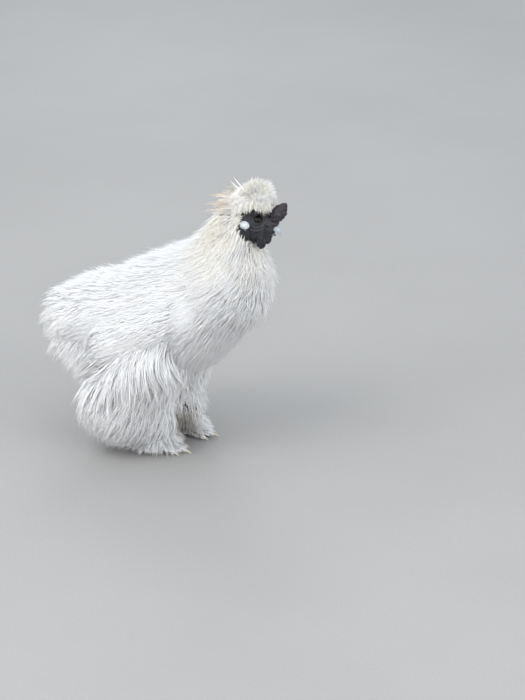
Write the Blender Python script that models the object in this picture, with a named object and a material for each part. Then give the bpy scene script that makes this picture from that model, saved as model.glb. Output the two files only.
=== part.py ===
"""Life-size silkie cockerel, standing, parted into its named body parts.

Sizes are in metres. X runs forward to the beak, Y to the bird's left and Z up from the floor.
The skin is a set of tapered capsules. The coat runs from the skin to its tips: a closed core fills the inner
half of its depth, and flat tapered locks, which follow the lie of the feathers, make the outer half.
"""

import math
from collections import namedtuple

import bmesh
import bpy
import numpy as np
from mathutils import Vector

# A capsule of the body: two axis ends, then skin radius and coat depth at each end, its width to its height,
# and the way its coat lies
Form = namedtuple("Form", "start end skin coat wide lie")

# The shape of a lock: its stations along it, and its width and depth there as shares of the greatest
Shape = namedtuple("Shape", "stations widths depths")

# A coat of locks: spacing down the lie and across it, then a lock's length, half width, thickness, how deep
# its root sinks, how far its tip strays, and its shape
Coat = namedtuple("Coat", "spacing across length half_width thickness sink stray shape")

SIDE = {"right": -1.0, "left": 1.0}
STEP = {"right": 0.0, "left": 0.018}

# Parts that touch keep this gap, and a little more round locks, whose faces are twisted
GAP = 0.0003
LOCK_GAP = 0.00048

# The blocks that trim a part at a plane are this large
BLOCK_SIZE = 0.5
FLOOR_CLEARANCE = 0.0026

# How softly one form runs into the next, and how far the core reaches from the skin (0) to the tips (1)
BLEND = 0.0045
CORE_LEVEL = 0.5

# A lock is left out where its root would be nearer than this to the core of another form: first a form of
# another part, then one of the same part
ROOT_CLEARANCE = 0.004
JOINT_CLEARANCE = 0.0004

# Torso, neck and tail
RUMP, RUMP_SKIN = np.array((-0.040, 0.0, 0.158)), 0.042
BREAST, BREAST_SKIN = np.array((0.034, 0.0, 0.186)), 0.047
CROP, CROP_SKIN = np.array((0.084, 0.0, 0.224)), 0.036
TORSO_COAT_DEPTH = 0.034
NECK_BASE, NECK_BASE_SKIN = np.array((0.083, 0.0, 0.243)), 0.029
NECK_TOP, NECK_TOP_SKIN = np.array((0.1055, 0.0, 0.297)), 0.020
NECK_COAT_DEPTH = (0.027, 0.018)
TAIL_ROOT, TAIL_ROOT_SKIN = np.array((-0.084, 0.0, 0.160)), 0.022
TAIL_END, TAIL_END_SKIN = np.array((-0.114, 0.0, 0.151)), 0.014
TAIL_COAT_DEPTH = 0.038

# Legs: the spread is from the midline, and the right ankle stands a little further ahead and further in
HIP_X, HIP_SPREAD, HIP_HEIGHT, HIP_SKIN = -0.002, 0.043, 0.124, 0.028
HOCK_X, HOCK_SPREAD, HOCK_HEIGHT, HOCK_SKIN = -0.036, 0.044, 0.062, 0.013
ANKLE_X, ANKLE_HEIGHT, ANKLE_SKIN = {"right": -0.004, "left": -0.009}, 0.014, 0.0062
ANKLE_SPREAD = {"right": 0.021, "left": 0.029}
HIP_STEP_SHARE = 0.25
THIGH_COAT_DEPTH = (0.028, 0.040)
SHANK_COAT_DEPTH = (0.040, 0.030)
SHANK_END_HEIGHT = 0.035
MIDLINE_CLEARANCE = 0.006
LEG_FLUFF_CLEARANCE = 0.017
LIMIT_EASE = 0.002

# Wings, folded on the flanks, from the shoulder to the flight tips
WING_SHOULDER, WING_SHOULDER_SKIN = np.array((0.056, 0.060, 0.200)), 0.020
WING_WRIST, WING_WRIST_SKIN = np.array((-0.040, 0.072, 0.146)), 0.017
WING_COAT_DEPTH = 0.014
WING_FLATNESS = 0.60

# Head, all placed from the middle of the skull
SKULL = np.array((0.1275, 0.0, 0.3115))
SKULL_BACK, SKULL_BACK_RADIUS = SKULL + (-0.0100, 0.0, 0.0015), 0.0190
SKULL_FRONT, SKULL_FRONT_RADIUS = SKULL + (0.0095, 0.0, -0.0015), 0.0158
SKULL_WIDTH = 0.94
THROAT_BACK, THROAT_FRONT = SKULL + (-0.0060, 0.0, -0.0125), SKULL + (0.0090, 0.0, -0.0120)
THROAT_RADIUS, THROAT_WIDTH = 0.0140, 0.85
EYE_CENTRE, EYE_RADIUS = SKULL + (0.0070, 0.0112, 0.0065), 0.0054
LID_RADIUS, LID_THICKNESS = 0.0054, 0.0011
LOBE_CENTRE, LOBE_SIZE = SKULL + (-0.0090, 0.0173, -0.0005), (0.0063, 0.0036, 0.0057)
WATTLE_ROOT, WATTLE_DROP = SKULL + (0.0103, 0.0085, -0.0155), 0.0115
WATTLE_SIZE = (0.0078, 0.0036, 0.0088)
WATTLE_WIDTH = 0.62
WATTLE_FOLDS = ((0.0, 1.0, 1.15), (-0.55, 0.74, 1.0), (0.50, 0.70, 1.0))  # shift along X, size, thickness
COMB_BASE, COMB_BASE_RADIUS = SKULL + (0.0235, 0.0, 0.0065), 0.0088
COMB_TOP, COMB_TOP_RADIUS = SKULL + (0.0330, 0.0, 0.0205), 0.0100
COMB_WIDTH = 1.15
KNOB_RADIUS, KNOB_SEAT = 0.0034, 0.88
FACE_CORNER = SKULL + (-0.0015, 0.0, -0.0260)
FACE_EDGE_FACING, FACE_EDGE_RISE = np.array((0.871, 0.0, 0.492)), np.array((-0.492, 0.0, 0.871))
BEAK_RIDGE = SKULL + np.array(((0.0165, 0.0, -0.0045), (0.0225, 0.0, -0.0052), (0.0283, 0.0, -0.0088),
                               (0.0310, 0.0, -0.0152)))
BEAK_HALF_HEIGHT = (0.0062, 0.0052, 0.0036, 0.0006)
BEAK_HALF_WIDTH = (0.0064, 0.0054, 0.0036, 0.0006)
JAW_RIDGE = SKULL + np.array(((0.0155, 0.0, -0.0138), (0.0210, 0.0, -0.0148), (0.0258, 0.0, -0.0166)))
JAW_HALF_HEIGHT = (0.0028, 0.0022, 0.0007)
JAW_HALF_WIDTH = (0.0056, 0.0044, 0.0012)
GAPE_LENGTH, GAPE_HALF_HEIGHT = 0.0060, 0.0005
NOSTRIL_CENTRE, NOSTRIL_SIZE = SKULL + (0.0215, 0.0050, -0.0035), (0.0018, 0.0012, 0.0009)

# Crest: a round puff whose feathers spread from the crown
CREST_CENTRE = SKULL + (-0.0160, 0.0, 0.0145)
CREST_REACH = np.array((0.0440, 0.0390, 0.0390))
CREST_CORE = 0.52
CREST_FEATHERS = 35
CREST_FEATHER_HALF_WIDTH, CREST_FEATHER_THICKNESS = 0.0084, 0.0028
CREST_LOWEST_FRONT, CREST_LOWEST_BACK = 0.05, -0.42
CREST_POLE = np.array((0.62, 0.0, 0.78))
CREST_SWEEP = 42.0
CREST_ROOT_SHARE = 0.44

# Feet: bearing from straight ahead towards the midline, flesh length, base radius, tip radius, claw length
TOES = {
    "inner": (14.0, 0.033, 0.0048, 0.0033, 0.011),
    "middle": (-6.0, 0.040, 0.0050, 0.0034, 0.012),
    "outer": (-24.0, 0.033, 0.0046, 0.0032, 0.011),
    "hind": (158.0, 0.021, 0.0042, 0.0031, 0.009),
    "extra": (128.0, 0.019, 0.0038, 0.0028, 0.011),
}
EXTRA_TOE_LIFT = 0.018
PAD_RADIUS, PAD_HALF_HEIGHT, PAD_AHEAD, PAD_HEIGHT = 0.0098, 0.0063, 0.003, 0.0042
STUB_RADII = (0.0066, 0.0062)
FOOT_FEATHERS = 6
FOOT_FEATHER_LENGTH = (0.030, 0.044)
FOOT_FEATHER_BEARINGS = (-48.0, -160.0)
FOOT_FEATHER_LIFTS = (0.0090, 0.0130)
FOOT_FEATHER_HALF_WIDTH, FOOT_FEATHER_THICKNESS = 0.0055, 0.0013

# Locks of each part, and vanes of the wings and tail
LONG_LOCK = Shape((0.0, 0.36, 0.72, 1.0), (0.62, 1.00, 0.74, 0.0), (0.90, 1.00, 0.75, 0.0))
SHORT_LOCK = Shape((0.0, 0.55, 1.0), (0.50, 1.00, 0.0), (0.90, 1.00, 0.0))
TORSO_LOCKS = Coat(0.034, 0.032, 0.068, 0.0146, 0.0060, 0.0060, 0.14, LONG_LOCK)
NECK_LOCKS = Coat(0.021, 0.022, 0.052, 0.0105, 0.0046, 0.0040, 0.10, LONG_LOCK)
TAIL_LOCKS = Coat(0.038, 0.035, 0.066, 0.0150, 0.0052, 0.0050, 0.14, LONG_LOCK)
THIGH_LOCKS = Coat(0.038, 0.035, 0.058, 0.0138, 0.0056, 0.0050, 0.12, SHORT_LOCK)
SHANK_LOCKS = Coat(0.028, 0.032, 0.036, 0.0128, 0.0046, 0.0040, 0.12, SHORT_LOCK)
WING_COVERTS = Coat(0.033, 0.031, 0.054, 0.0140, 0.0040, 0.0030, 0.08, SHORT_LOCK)

# Flight feathers: count, drop below the wing's line and length of each tier; the first is turned down most
FLIGHT_TIERS = ((4, 0.82, 0.074), (3, 0.45, 0.060))
FLIGHT_TURN, FLIGHT_TURN_LOSS = 0.62, 0.52
FLIGHT_LEVEL, FLIGHT_TIER_LEVEL, FLIGHT_ODD_LEVEL = 1.05, 0.22, 0.10
FLIGHT_SHORTEST, FLIGHT_GAIN = 0.84, 0.26
FLIGHT_ROOT_OUT = 0.004
FLIGHT_HALF_WIDTH, FLIGHT_THICKNESS = 0.0084, 0.0018

# Tail feathers: count and length of each tier, how they rise at the root, and how they fall towards the tip
TAIL_TIERS = ((5, 0.076), (3, 0.064))
TAIL_RISE, TAIL_TIER_LOSS, TAIL_SIDE_LOSS = 0.40, 0.22, 0.25
TAIL_ROOT_SHARE, TAIL_ROOT_SPREAD, TAIL_ROOT_LIFT, TAIL_ROOT_TIER_DROP = 0.55, 0.010, 0.010, 0.008
TAIL_REACH, TAIL_FALL, TAIL_FALL_POWER = 0.86, 0.72, 2.4
TAIL_VANE_HALF_WIDTH, TAIL_VANE_THICKNESS = 0.0090, 0.0018
TAIL_FAN = 70.0

# How a lock rises, the least it may span, and how firmly it keeps its roll
LOCK_RISE = 0.60
LEAST_SPAN = 0.70
TWIST_HOLD = 3.5
MARCH_STEPS = 3

WHITE = (0.86, 0.85, 0.80)
CREAM = (0.86, 0.82, 0.70)
MULBERRY = (0.050, 0.045, 0.052)
DARK_COMB = (0.065, 0.050, 0.060)
BLUE_HORN = (0.38, 0.43, 0.47)
LOBE_WHITE = (0.55, 0.62, 0.66)
SLATE = (0.16, 0.17, 0.19)
PALE_HORN = (0.70, 0.66, 0.58)
BLACK = (0.012, 0.010, 0.010)


def clear_scene():
    for old in list(bpy.data.objects):
        bpy.data.objects.remove(old, do_unlink=True)


def finish_material(name, colour, roughness):
    """One Principled BSDF for a part."""
    material = bpy.data.materials.new(name)
    material.use_nodes = True
    shader = material.node_tree.nodes["Principled BSDF"]
    shader.inputs["Base Color"].default_value = (*colour, 1.0)
    shader.inputs["Roughness"].default_value = roughness
    shader.inputs["Metallic"].default_value = 0.0
    return material


def unit(vector):
    vector = np.asarray(vector, float)
    return vector / np.linalg.norm(vector)


def mirrored(point, side):
    """The same place on the bird's left (1) or right (-1)."""
    return np.array((point[0], side * point[1], point[2]))


# Meshes and Booleans


def linked(name, bm):
    """An object with the mesh that has been built up."""
    mesh = bpy.data.meshes.new(name)
    bm.to_mesh(mesh)
    bm.free()
    made = bpy.data.objects.new(name, mesh)
    bpy.context.scene.collection.objects.link(made)
    return made


def lofted(name, rings):
    """A closed mesh through rings of points, each end a single point or a flat cap.

    The far half of each ring is split along the other diagonal, so that both faces of a thin vane match.
    """
    bm = bmesh.new()
    loops = [[bm.verts.new(tuple(point)) for point in np.atleast_2d(ring)] for ring in rings]
    for low, high in zip(loops, loops[1:]):
        count = max(len(low), len(high))
        for here in range(count):
            after = (here + 1) % count
            if len(low) == 1:
                bm.faces.new((low[0], high[after], high[here]))
            elif len(high) == 1:
                bm.faces.new((low[here], low[after], high[0]))
            elif here >= count // 2:
                bm.faces.new((low[here], low[after], high[here]))
                bm.faces.new((low[after], high[after], high[here]))
            else:
                bm.faces.new((low[here], low[after], high[after]))
                bm.faces.new((low[here], high[after], high[here]))
    if len(loops[0]) > 2:
        bm.faces.new(loops[0][::-1])
    if len(loops[-1]) > 2:
        bm.faces.new(loops[-1])
    bmesh.ops.recalc_face_normals(bm, faces=bm.faces)
    bmesh.ops.triangulate(bm, faces=bm.faces)
    return linked(name, bm)


def ring_around(centre, along, half_width, half_height, sides):
    """Points of an ellipse square to a direction, its width as near to Y as it can be."""
    along = unit(along)
    across = unit(np.array((0.0, 1.0, 0.0)) - along[1] * along)
    upward = np.cross(along, across)
    turn = np.linspace(0.0, 2.0 * math.pi, sides, endpoint=False)[:, None]
    return centre + half_width * np.cos(turn) * across + half_height * np.sin(turn) * upward


def capsule(name, start, end, radii, wide=1.0, sides=12, cap_rings=3, mid_rings=1, grow=0.0):
    """A tapered capsule; wide stretches it along Y, and grow pushes its surface out."""
    along = unit(end - start)
    first, last = radii[0] + grow, radii[1] + grow
    first_wide, last_wide = wide * radii[0] + grow, wide * radii[1] + grow
    rings = [start - first * along]
    for tilt in np.radians(np.linspace(-90.0, 0.0, cap_rings + 1)[1:]):
        centre = start + first * math.sin(tilt) * along
        rings.append(ring_around(centre, along, first_wide * math.cos(tilt), first * math.cos(tilt), sides))
    for share in np.linspace(0.0, 1.0, mid_rings + 2)[1:-1]:
        half_width = first_wide + share * (last_wide - first_wide)
        half_height = first + share * (last - first)
        rings.append(ring_around(start + share * (end - start), along, half_width, half_height, sides))
    for tilt in np.radians(np.linspace(0.0, 90.0, cap_rings + 1)[:-1]):
        centre = end + last * math.sin(tilt) * along
        rings.append(ring_around(centre, along, last_wide * math.cos(tilt), last * math.cos(tilt), sides))
    rings.append(end + last * along)
    return lofted(name, rings)


def ellipsoid(name, centre, size, sides=8, rows=5, grow=0.0):
    """A closed ellipsoid with its poles along X."""
    rings = []
    for row in np.linspace(-90.0, 90.0, rows + 1):
        reach, waist = math.sin(math.radians(row)), math.cos(math.radians(row))
        middle = np.array(centre) + np.array((reach * (size[0] + grow), 0.0, 0.0))
        if abs(row) == 90.0:
            rings.append(middle)
        else:
            half_width, half_height = waist * (size[1] + grow), waist * (size[2] + grow)
            rings.append(ring_around(middle, (1.0, 0.0, 0.0), half_width, half_height, sides))
    return lofted(name, rings)


def block(name, point, facing):
    """A large box whose one face is centred on the point, on the side that facing points to."""
    facing = Vector(unit(facing))
    bm = bmesh.new()
    bmesh.ops.create_cube(bm, size=BLOCK_SIZE)
    turn = Vector((0.0, 0.0, 1.0)).rotation_difference(facing).to_matrix().to_4x4()
    turn.translation = Vector(point) + facing * (BLOCK_SIZE / 2.0)
    bmesh.ops.transform(bm, matrix=turn, verts=bm.verts)
    return linked(name, bm)


def discard(*pieces):
    for piece in pieces:
        bpy.data.objects.remove(piece, do_unlink=True)


def settle(target):
    """Applies the modifiers of an object to its mesh."""
    graph = bpy.context.evaluated_depsgraph_get()
    result = bpy.data.meshes.new_from_object(target.evaluated_get(graph))
    target.modifiers.clear()
    target.data = result


def joined(name, pieces):
    """One body from overlapping closed pieces."""
    body = pieces[0]
    body.name = name
    if len(pieces) > 1:
        group = bpy.data.collections.new(name + "_pieces")
        for piece in pieces[1:]:
            group.objects.link(piece)
        join = body.modifiers.new("join", "BOOLEAN")
        join.operation = "UNION"
        join.operand_type = "COLLECTION"
        join.collection = group
        join.solver = "MANIFOLD"
        settle(body)
        discard(*pieces[1:])
        bpy.data.collections.remove(group)
    return body


def cut(body, *others):
    """Takes other bodies out of a body."""
    for other in others:
        step = body.modifiers.new("cut", "BOOLEAN")
        step.operation = "DIFFERENCE"
        step.object = other
        step.solver = "MANIFOLD"
        settle(body)
    discard(*others)
    return body


def keep_largest(body):
    """Leaves only the closed surface with the most volume; shells that only share an edge count as two."""
    bm = bmesh.new()
    bm.from_mesh(body.data)
    bmesh.ops.triangulate(bm, faces=bm.faces)
    islands, seen = [], set()
    for first in bm.faces:
        if first in seen:
            continue
        island, waiting = [], [first]
        seen.add(first)
        while waiting:
            face = waiting.pop()
            island.append(face)
            for edge in face.edges:
                for neighbour in edge.link_faces if len(edge.link_faces) == 2 else ():
                    if neighbour not in seen:
                        seen.add(neighbour)
                        waiting.append(neighbour)
        volume = sum(f.verts[0].co.dot(f.verts[1].co.cross(f.verts[2].co)) for f in island) / 6.0
        islands.append((volume, len(islands), island))
    islands.sort()
    doomed = [face for _, _, island in islands[:-1] for face in island]
    bmesh.ops.delete(bm, geom=doomed, context="FACES")
    bm.to_mesh(body.data)
    bm.free()
    return body


# The body's forms and the field round them


def leg_joints(label):
    """Hip, hock and ankle of one leg; the left leg stands one step ahead."""
    side, step = SIDE[label], STEP[label]
    hip = np.array((HIP_X + HIP_STEP_SHARE * step, side * HIP_SPREAD, HIP_HEIGHT))
    hock = np.array((HOCK_X + step, side * HOCK_SPREAD, HOCK_HEIGHT))
    ankle = np.array((ANKLE_X[label] + step, side * ANKLE_SPREAD[label], ANKLE_HEIGHT))
    return hip, hock, ankle


def body_forms():
    """Every feathered form but the crest, with the way its coat lies."""
    depth = (TORSO_COAT_DEPTH,) * 2
    tail_skin, tail_depth = (TAIL_ROOT_SKIN, TAIL_END_SKIN), (TAIL_COAT_DEPTH,) * 2
    forms = {
        "back": Form(RUMP, BREAST, (RUMP_SKIN, BREAST_SKIN), depth, 1.0, (-0.90, 0.0, -0.42)),
        "breast": Form(BREAST, CROP, (BREAST_SKIN, CROP_SKIN), depth, 1.0, (-0.80, 0.0, -0.60)),
        "neck": Form(
            NECK_BASE, NECK_TOP, (NECK_BASE_SKIN, NECK_TOP_SKIN), NECK_COAT_DEPTH, 1.0, (-0.38, 0.0, -0.92)
        ),
        "tail": Form(TAIL_ROOT, TAIL_END, tail_skin, tail_depth, 1.05, (-0.80, 0.0, -0.60)),
    }
    for label, side in SIDE.items():
        hip, hock, ankle = leg_joints(label)
        forms["thigh_" + label] = Form(
            hip, hock, (HIP_SKIN, HOCK_SKIN), THIGH_COAT_DEPTH, 1.0, (-0.42, 0.10 * side, -0.90)
        )
        fluff_end = np.array((ankle[0], ankle[1], SHANK_END_HEIGHT))
        forms["shank_" + label] = Form(
            hock, fluff_end, (HOCK_SKIN, ANKLE_SKIN), SHANK_COAT_DEPTH, 1.0, (-0.50, 0.28 * side, -0.80)
        )
        forms["wing_" + label] = Form(
            mirrored(WING_SHOULDER, side),
            mirrored(WING_WRIST, side),
            (WING_SHOULDER_SKIN, WING_WRIST_SKIN),
            (WING_COAT_DEPTH,) * 2,
            WING_FLATNESS,
            (-0.88, 0.0, -0.48),
        )
    return forms


FORMS = body_forms()


def around_form(form, point, level):
    """How far a point is from one form at a level of the coat (0 skin, 1 tips), and the way out."""
    axis = form.end - form.start
    share = float(np.clip(np.dot(point - form.start, axis) / np.dot(axis, axis), 0.0, 1.0))
    away = point - (form.start + share * axis)
    squeezed = away / np.array((1.0, form.wide, 1.0))
    reach = max(float(np.linalg.norm(squeezed)), 1e-6)
    slope = squeezed / np.array((1.0, form.wide, 1.0)) / reach
    steep = float(np.linalg.norm(slope))
    skin = form.skin[0] + share * (form.skin[1] - form.skin[0])
    coat = form.coat[0] + share * (form.coat[1] - form.coat[0])
    return (reach - skin - level * coat) / steep, slope / steep


def around_body(point, names, level):
    """Distance from the forms blended together, the way out, and the lie of the coat there."""
    found = [around_form(FORMS[name], point, level) for name in names]
    distances = np.array([distance for distance, _ in found])
    nearest = distances.min()
    pull = np.exp(-(distances - nearest) / BLEND)
    outward = unit(sum(weight * way for weight, (_, way) in zip(pull, found)))
    lie = sum(weight * np.array(FORMS[name].lie) for weight, name in zip(pull, names))
    return nearest - BLEND * math.log(pull.sum()), outward, unit(lie)


def core(name, part, grow=0.0, sides=12):
    """The closed core of one form, up to half way to the tips of its coat."""
    form = FORMS[name]
    radii = [skin + CORE_LEVEL * coat for skin, coat in zip(form.skin, form.coat)]
    return capsule(part, form.start, form.end, radii, wide=form.wide, sides=sides, grow=grow)


def blade(path, outward, half_width, thickness, shape=LONG_LOCK, grow=0.0):
    """A flat tapered lock or vane along a path: flat beneath, with a ridge along its outer face."""
    rings = []
    before = None
    hand = -1.0 if path[0][1] < 0.0 else 1.0
    for index in range(len(path) - 1):
        along = unit(path[index + 1] - path[max(index - 1, 0)])
        across = unit(np.cross(along, outward[index]))
        if before is not None:
            across = unit(across + TWIST_HOLD * before)
            across = unit(across - np.dot(across, along) * along)
        before = across
        upward = np.cross(across, along)
        middle = path[index] - (grow * along if index == 0 else 0.0) - grow * upward
        depth = thickness * shape.depths[index]
        width = hand * half_width * shape.widths[index] * (1.0 + 2.0 * grow / depth)
        rings.append(middle + np.array((width * across, (depth + 2.1 * grow) * upward, -width * across)))
    rings.append(path[-1] + 6.0 * grow * unit(path[-1] - path[-2]))
    return lofted("lock", rings)


def kept_above(value, lowest):
    """The value, eased so that it stays above the lowest one without two values ending up the same."""
    return lowest + LIMIT_EASE * math.log1p(math.exp((value - lowest) / LIMIT_EASE))


def lock_path(root, names, length, tip_level, turn, side, sink, shape):
    """Stations of a lock that leaves its sunk root and rides up through the coat along its lie.

    turn swings it sideways, in radians. side is 0, or keeps a leg's lock on its own side of the midline.
    """
    path, outwards = [], []
    point = np.array(root, float)
    before = 0.0
    for share in shape.stations:
        for _ in range(MARCH_STEPS if share else 0):
            _, outward, lie = around_body(point, names, CORE_LEVEL)
            level_lie = lie - np.dot(lie, outward) * outward
            if np.linalg.norm(level_lie) < 0.05:
                level_lie = np.cross(outward, (0.0, 1.0, 0.0))
            level_lie = unit(level_lie)
            heading = math.cos(turn) * level_lie + math.sin(turn) * np.cross(outward, level_lie)
            point = point + heading * length * (share - before) / MARCH_STEPS
        before = share
        level = CORE_LEVEL + (tip_level - CORE_LEVEL) * share**LOCK_RISE
        for _ in range(2):
            distance, outward, _ = around_body(point, names, level)
            point = point - (distance + sink * (1.0 - share) ** 3) * outward
        if side:
            point[1] = side * kept_above(side * point[1], MIDLINE_CLEARANCE)
            point[2] = kept_above(point[2], LEG_FLUFF_CLEARANCE)
        path.append(point.copy())
        outwards.append(outward)
    return path, outwards


def rows_over(form, spacing, across):
    """Places on a form's core, in staggered rings from its end to its start."""
    first, last = (skin + CORE_LEVEL * coat for skin, coat in zip(form.skin, form.coat))
    axis = form.end - form.start
    along, length = unit(axis), float(np.linalg.norm(axis))
    side_way = unit(np.array((0.0, 1.0, 0.0)) - along[1] * along)
    up_way = np.cross(along, side_way)
    quarter_end, quarter_start = last * math.pi / 2.0, first * math.pi / 2.0
    total = quarter_end + length + quarter_start
    rows = max(2, round(total / spacing))
    for row in range(rows):
        travelled = (row + 0.5) * total / rows
        if travelled < quarter_end:
            tilt = math.pi / 2.0 - travelled / last
            centre, radius, lean = form.end, last, tilt
        elif travelled < quarter_end + length:
            share = 1.0 - (travelled - quarter_end) / length
            centre, radius, lean = form.start + share * axis, first + share * (last - first), 0.0
        else:
            tilt = (travelled - quarter_end - length) / first
            centre, radius, lean = form.start, first, -tilt
        waist = radius * math.cos(lean)
        count = max(3, round(2.0 * math.pi * waist / across))
        for step in range(count):
            turn = 2.0 * math.pi * (step + 0.5 * (row % 2)) / count
            spoke = math.cos(turn) * form.wide * side_way + math.sin(turn) * up_way
            yield centre + waist * spoke + radius * math.sin(lean) * along


def locks_on(name, coat, names, seed, allowed=None, side=0.0, mate=""):
    """Makers of the locks that grow on one form, leaving out those whose root another form covers.

    mate is the form that makes up the same part with this one.
    """
    chance = np.random.default_rng(seed)
    form = FORMS[name]
    makers = []
    others = [
        (FORMS[other], JOINT_CLEARANCE if other == mate else ROOT_CLEARANCE)
        for other in names
        if other != name
    ]
    for index, root in enumerate(rows_over(form, coat.spacing, coat.across)):
        drawn = chance.uniform(-1.0, 1.0, 5)
        root = root + 0.10 * coat.spacing * drawn[:3]
        covered = any(around_form(other, root, CORE_LEVEL)[0] < clearance for other, clearance in others)
        if covered or (allowed and not allowed(root)):
            continue
        length = coat.length * (1.0 + 0.12 * drawn[3])
        tip_level = 1.0 + 0.5 * coat.stray * drawn[3] + 0.12 * (index % 2)
        turn = coat.stray * drawn[4]
        path, outward = lock_path(root, names, length, tip_level, turn, side, coat.sink, coat.shape)
        if np.linalg.norm(path[-1] - path[0]) < LEAST_SPAN * length:
            continue
        makers.append((path, outward, coat.half_width * (1.0 + 0.08 * drawn[0]), coat.thickness, coat.shape))
    return makers


# Feathered parts: each returns its pieces, grown by a clearance when they cut a neighbour


def behind_face(root):
    """Whether a root is behind or below the edge of the bare face."""
    offset = root - FACE_CORNER
    return float(np.dot(offset, FACE_EDGE_FACING)) < -0.004 or float(np.dot(offset, FACE_EDGE_RISE)) < -0.004


def below_torso(root):
    """Whether a root on a leg is outside the coats of the torso and the wings."""
    over = {"back": 0.85, "breast": 0.85, "wing_right": 1.0, "wing_left": 1.0}
    return all(around_form(FORMS[name], root, level)[0] > 0.0 for name, level in over.items())


def off_wings(root):
    """Whether a root is clear of the folded wings."""
    for label in SIDE:
        distance, _ = around_form(FORMS["wing_" + label], root, 1.0)
        if distance < -0.004:
            return False
    return True


def on_outer_wing(root):
    """Whether a root is on the outer face of a wing, clear of the flank."""
    levels = {"back": 0.80, "breast": 0.75}
    return all(around_form(FORMS[name], root, level)[0] > 0.0 for name, level in levels.items())


def flight_vanes(label):
    """Overlapping flight feathers in tiers, hung from the lower edge of the wing."""
    side = SIDE[label]
    form = FORMS["wing_" + label]
    names = ("back", "breast", "thigh_" + label, "wing_" + label)
    makers = []
    for tier, (count, drop, length) in enumerate(FLIGHT_TIERS):
        for index in range(count):
            share = (index + 0.5 * tier + 0.35) / count
            radius = form.skin[0] + CORE_LEVEL * form.coat[0]
            root = form.start + min(share, 1.0) * (form.end - form.start)
            root = root + (0.0, FLIGHT_ROOT_OUT * side, -drop * radius)
            turn = -side * (FLIGHT_TURN - FLIGHT_TURN_LOSS * share)
            level = FLIGHT_LEVEL + FLIGHT_TIER_LEVEL * tier + FLIGHT_ODD_LEVEL * (index % 2)
            reach = length * (FLIGHT_SHORTEST + FLIGHT_GAIN * share)
            path, outward = lock_path(root, names, reach, level, turn, 0.0, WING_COVERTS.sink, LONG_LOCK)
            makers.append((path, outward, FLIGHT_HALF_WIDTH, FLIGHT_THICKNESS))
    return makers


def tail_vanes():
    """Two tiers of short curved tail feathers, fanned round the tail's end."""
    makers = []
    for tier, (count, length) in enumerate(TAIL_TIERS):
        for index in range(count):
            share = 2.0 * (index + 0.5) / count - 1.0
            fan = math.radians(TAIL_FAN) * share
            up = TAIL_RISE - TAIL_TIER_LOSS * tier - TAIL_SIDE_LOSS * share * share
            heading = unit((-1.0, math.sin(fan), up))
            root = TAIL_ROOT + TAIL_ROOT_SHARE * (TAIL_END - TAIL_ROOT)
            root = root + (0.0, TAIL_ROOT_SPREAD * share, TAIL_ROOT_LIFT - TAIL_ROOT_TIER_DROP * tier)
            level_heading = heading * np.array((1.0, 1.0, 0.0))
            root_facing = np.array((0.25, 0.35 * math.sin(fan), 1.0))
            path, outward = [], []
            for station in LONG_LOCK.stations:
                fall = np.array((0.0, 0.0, -TAIL_FALL * length * station**TAIL_FALL_POWER))
                path.append(root + TAIL_REACH * length * station * heading + fall)
                outward.append(unit(root_facing + station * level_heading))
            makers.append((path, outward, TAIL_VANE_HALF_WIDTH, TAIL_VANE_THICKNESS))
    return makers


def crest_feathers():
    """Feathers with tips spread evenly over a puff; they sweep over it away from its pole above the comb."""
    chance = np.random.default_rng(5)
    makers = []
    golden = math.pi * (3.0 - math.sqrt(5.0))
    for index in range(CREST_FEATHERS):
        turn = golden * index
        backward = 0.5 - 0.5 * math.cos(turn)
        lowest = CREST_LOWEST_FRONT + (CREST_LOWEST_BACK - CREST_LOWEST_FRONT) * backward
        height = 1.0 - (1.0 - lowest) * (index + 0.5) / CREST_FEATHERS
        flat = math.sqrt(1.0 - height * height)
        tip = np.array((flat * math.cos(turn), flat * math.sin(turn), height))
        from_pole = math.acos(float(np.dot(tip, CREST_POLE)))
        sideways = unit(tip - math.cos(from_pole) * CREST_POLE)
        first = max(from_pole - math.radians(CREST_SWEEP), 0.15 * from_pole)
        reach = CREST_REACH * (1.0 + 0.05 * chance.uniform(-1.0, 1.0))
        path, outward = [], []
        for station in SHORT_LOCK.stations:
            angle = first + (from_pole - first) * station
            way = math.cos(angle) * CREST_POLE + math.sin(angle) * sideways
            out = CREST_ROOT_SHARE + (1.0 - CREST_ROOT_SHARE) * station**0.8
            path.append(CREST_CENTRE + reach * out * way)
            outward.append(unit(math.cos(angle - 0.5) * CREST_POLE + math.sin(angle - 0.5) * sideways))
        makers.append((path, outward, CREST_FEATHER_HALF_WIDTH, CREST_FEATHER_THICKNESS, SHORT_LOCK))
    return makers


def foot_feathers(label):
    """Stiff feathers fanned from the outer side of the foot, just clear of the floor."""
    side = SIDE[label]
    pad = foot_pad(label)
    chance = np.random.default_rng(21 if side > 0.0 else 22)
    makers = []
    for index in range(FOOT_FEATHERS):
        share = index / (FOOT_FEATHERS - 1.0)
        bearing = math.radians(np.interp(share, (0.0, 1.0), FOOT_FEATHER_BEARINGS))
        heading = np.array((math.cos(bearing), -side * math.sin(bearing), 0.0))
        drawn = chance.uniform(-1.0, 1.0, 2)
        low, high = FOOT_FEATHER_LENGTH
        length = low + (high - low) * math.sin(math.pi * min(1.0, share + 0.25)) + 0.003 * drawn[0]
        lift = FOOT_FEATHER_LIFTS[index % 2]
        path, outward = [], []
        for station in SHORT_LOCK.stations:
            height = FLOOR_CLEARANCE + lift * (1.0 - station**1.6)
            spot = pad + heading * (0.003 + length * station)
            spot[2] = height
            path.append(spot)
            outward.append(unit(np.array((0.0, 0.0, 1.0)) + 0.3 * heading))
        makers.append((path, outward, FOOT_FEATHER_HALF_WIDTH, FOOT_FEATHER_THICKNESS, SHORT_LOCK))
    return makers


def grown(makers, grow):
    return [blade(*maker, grow=grow) for maker in makers]


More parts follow.
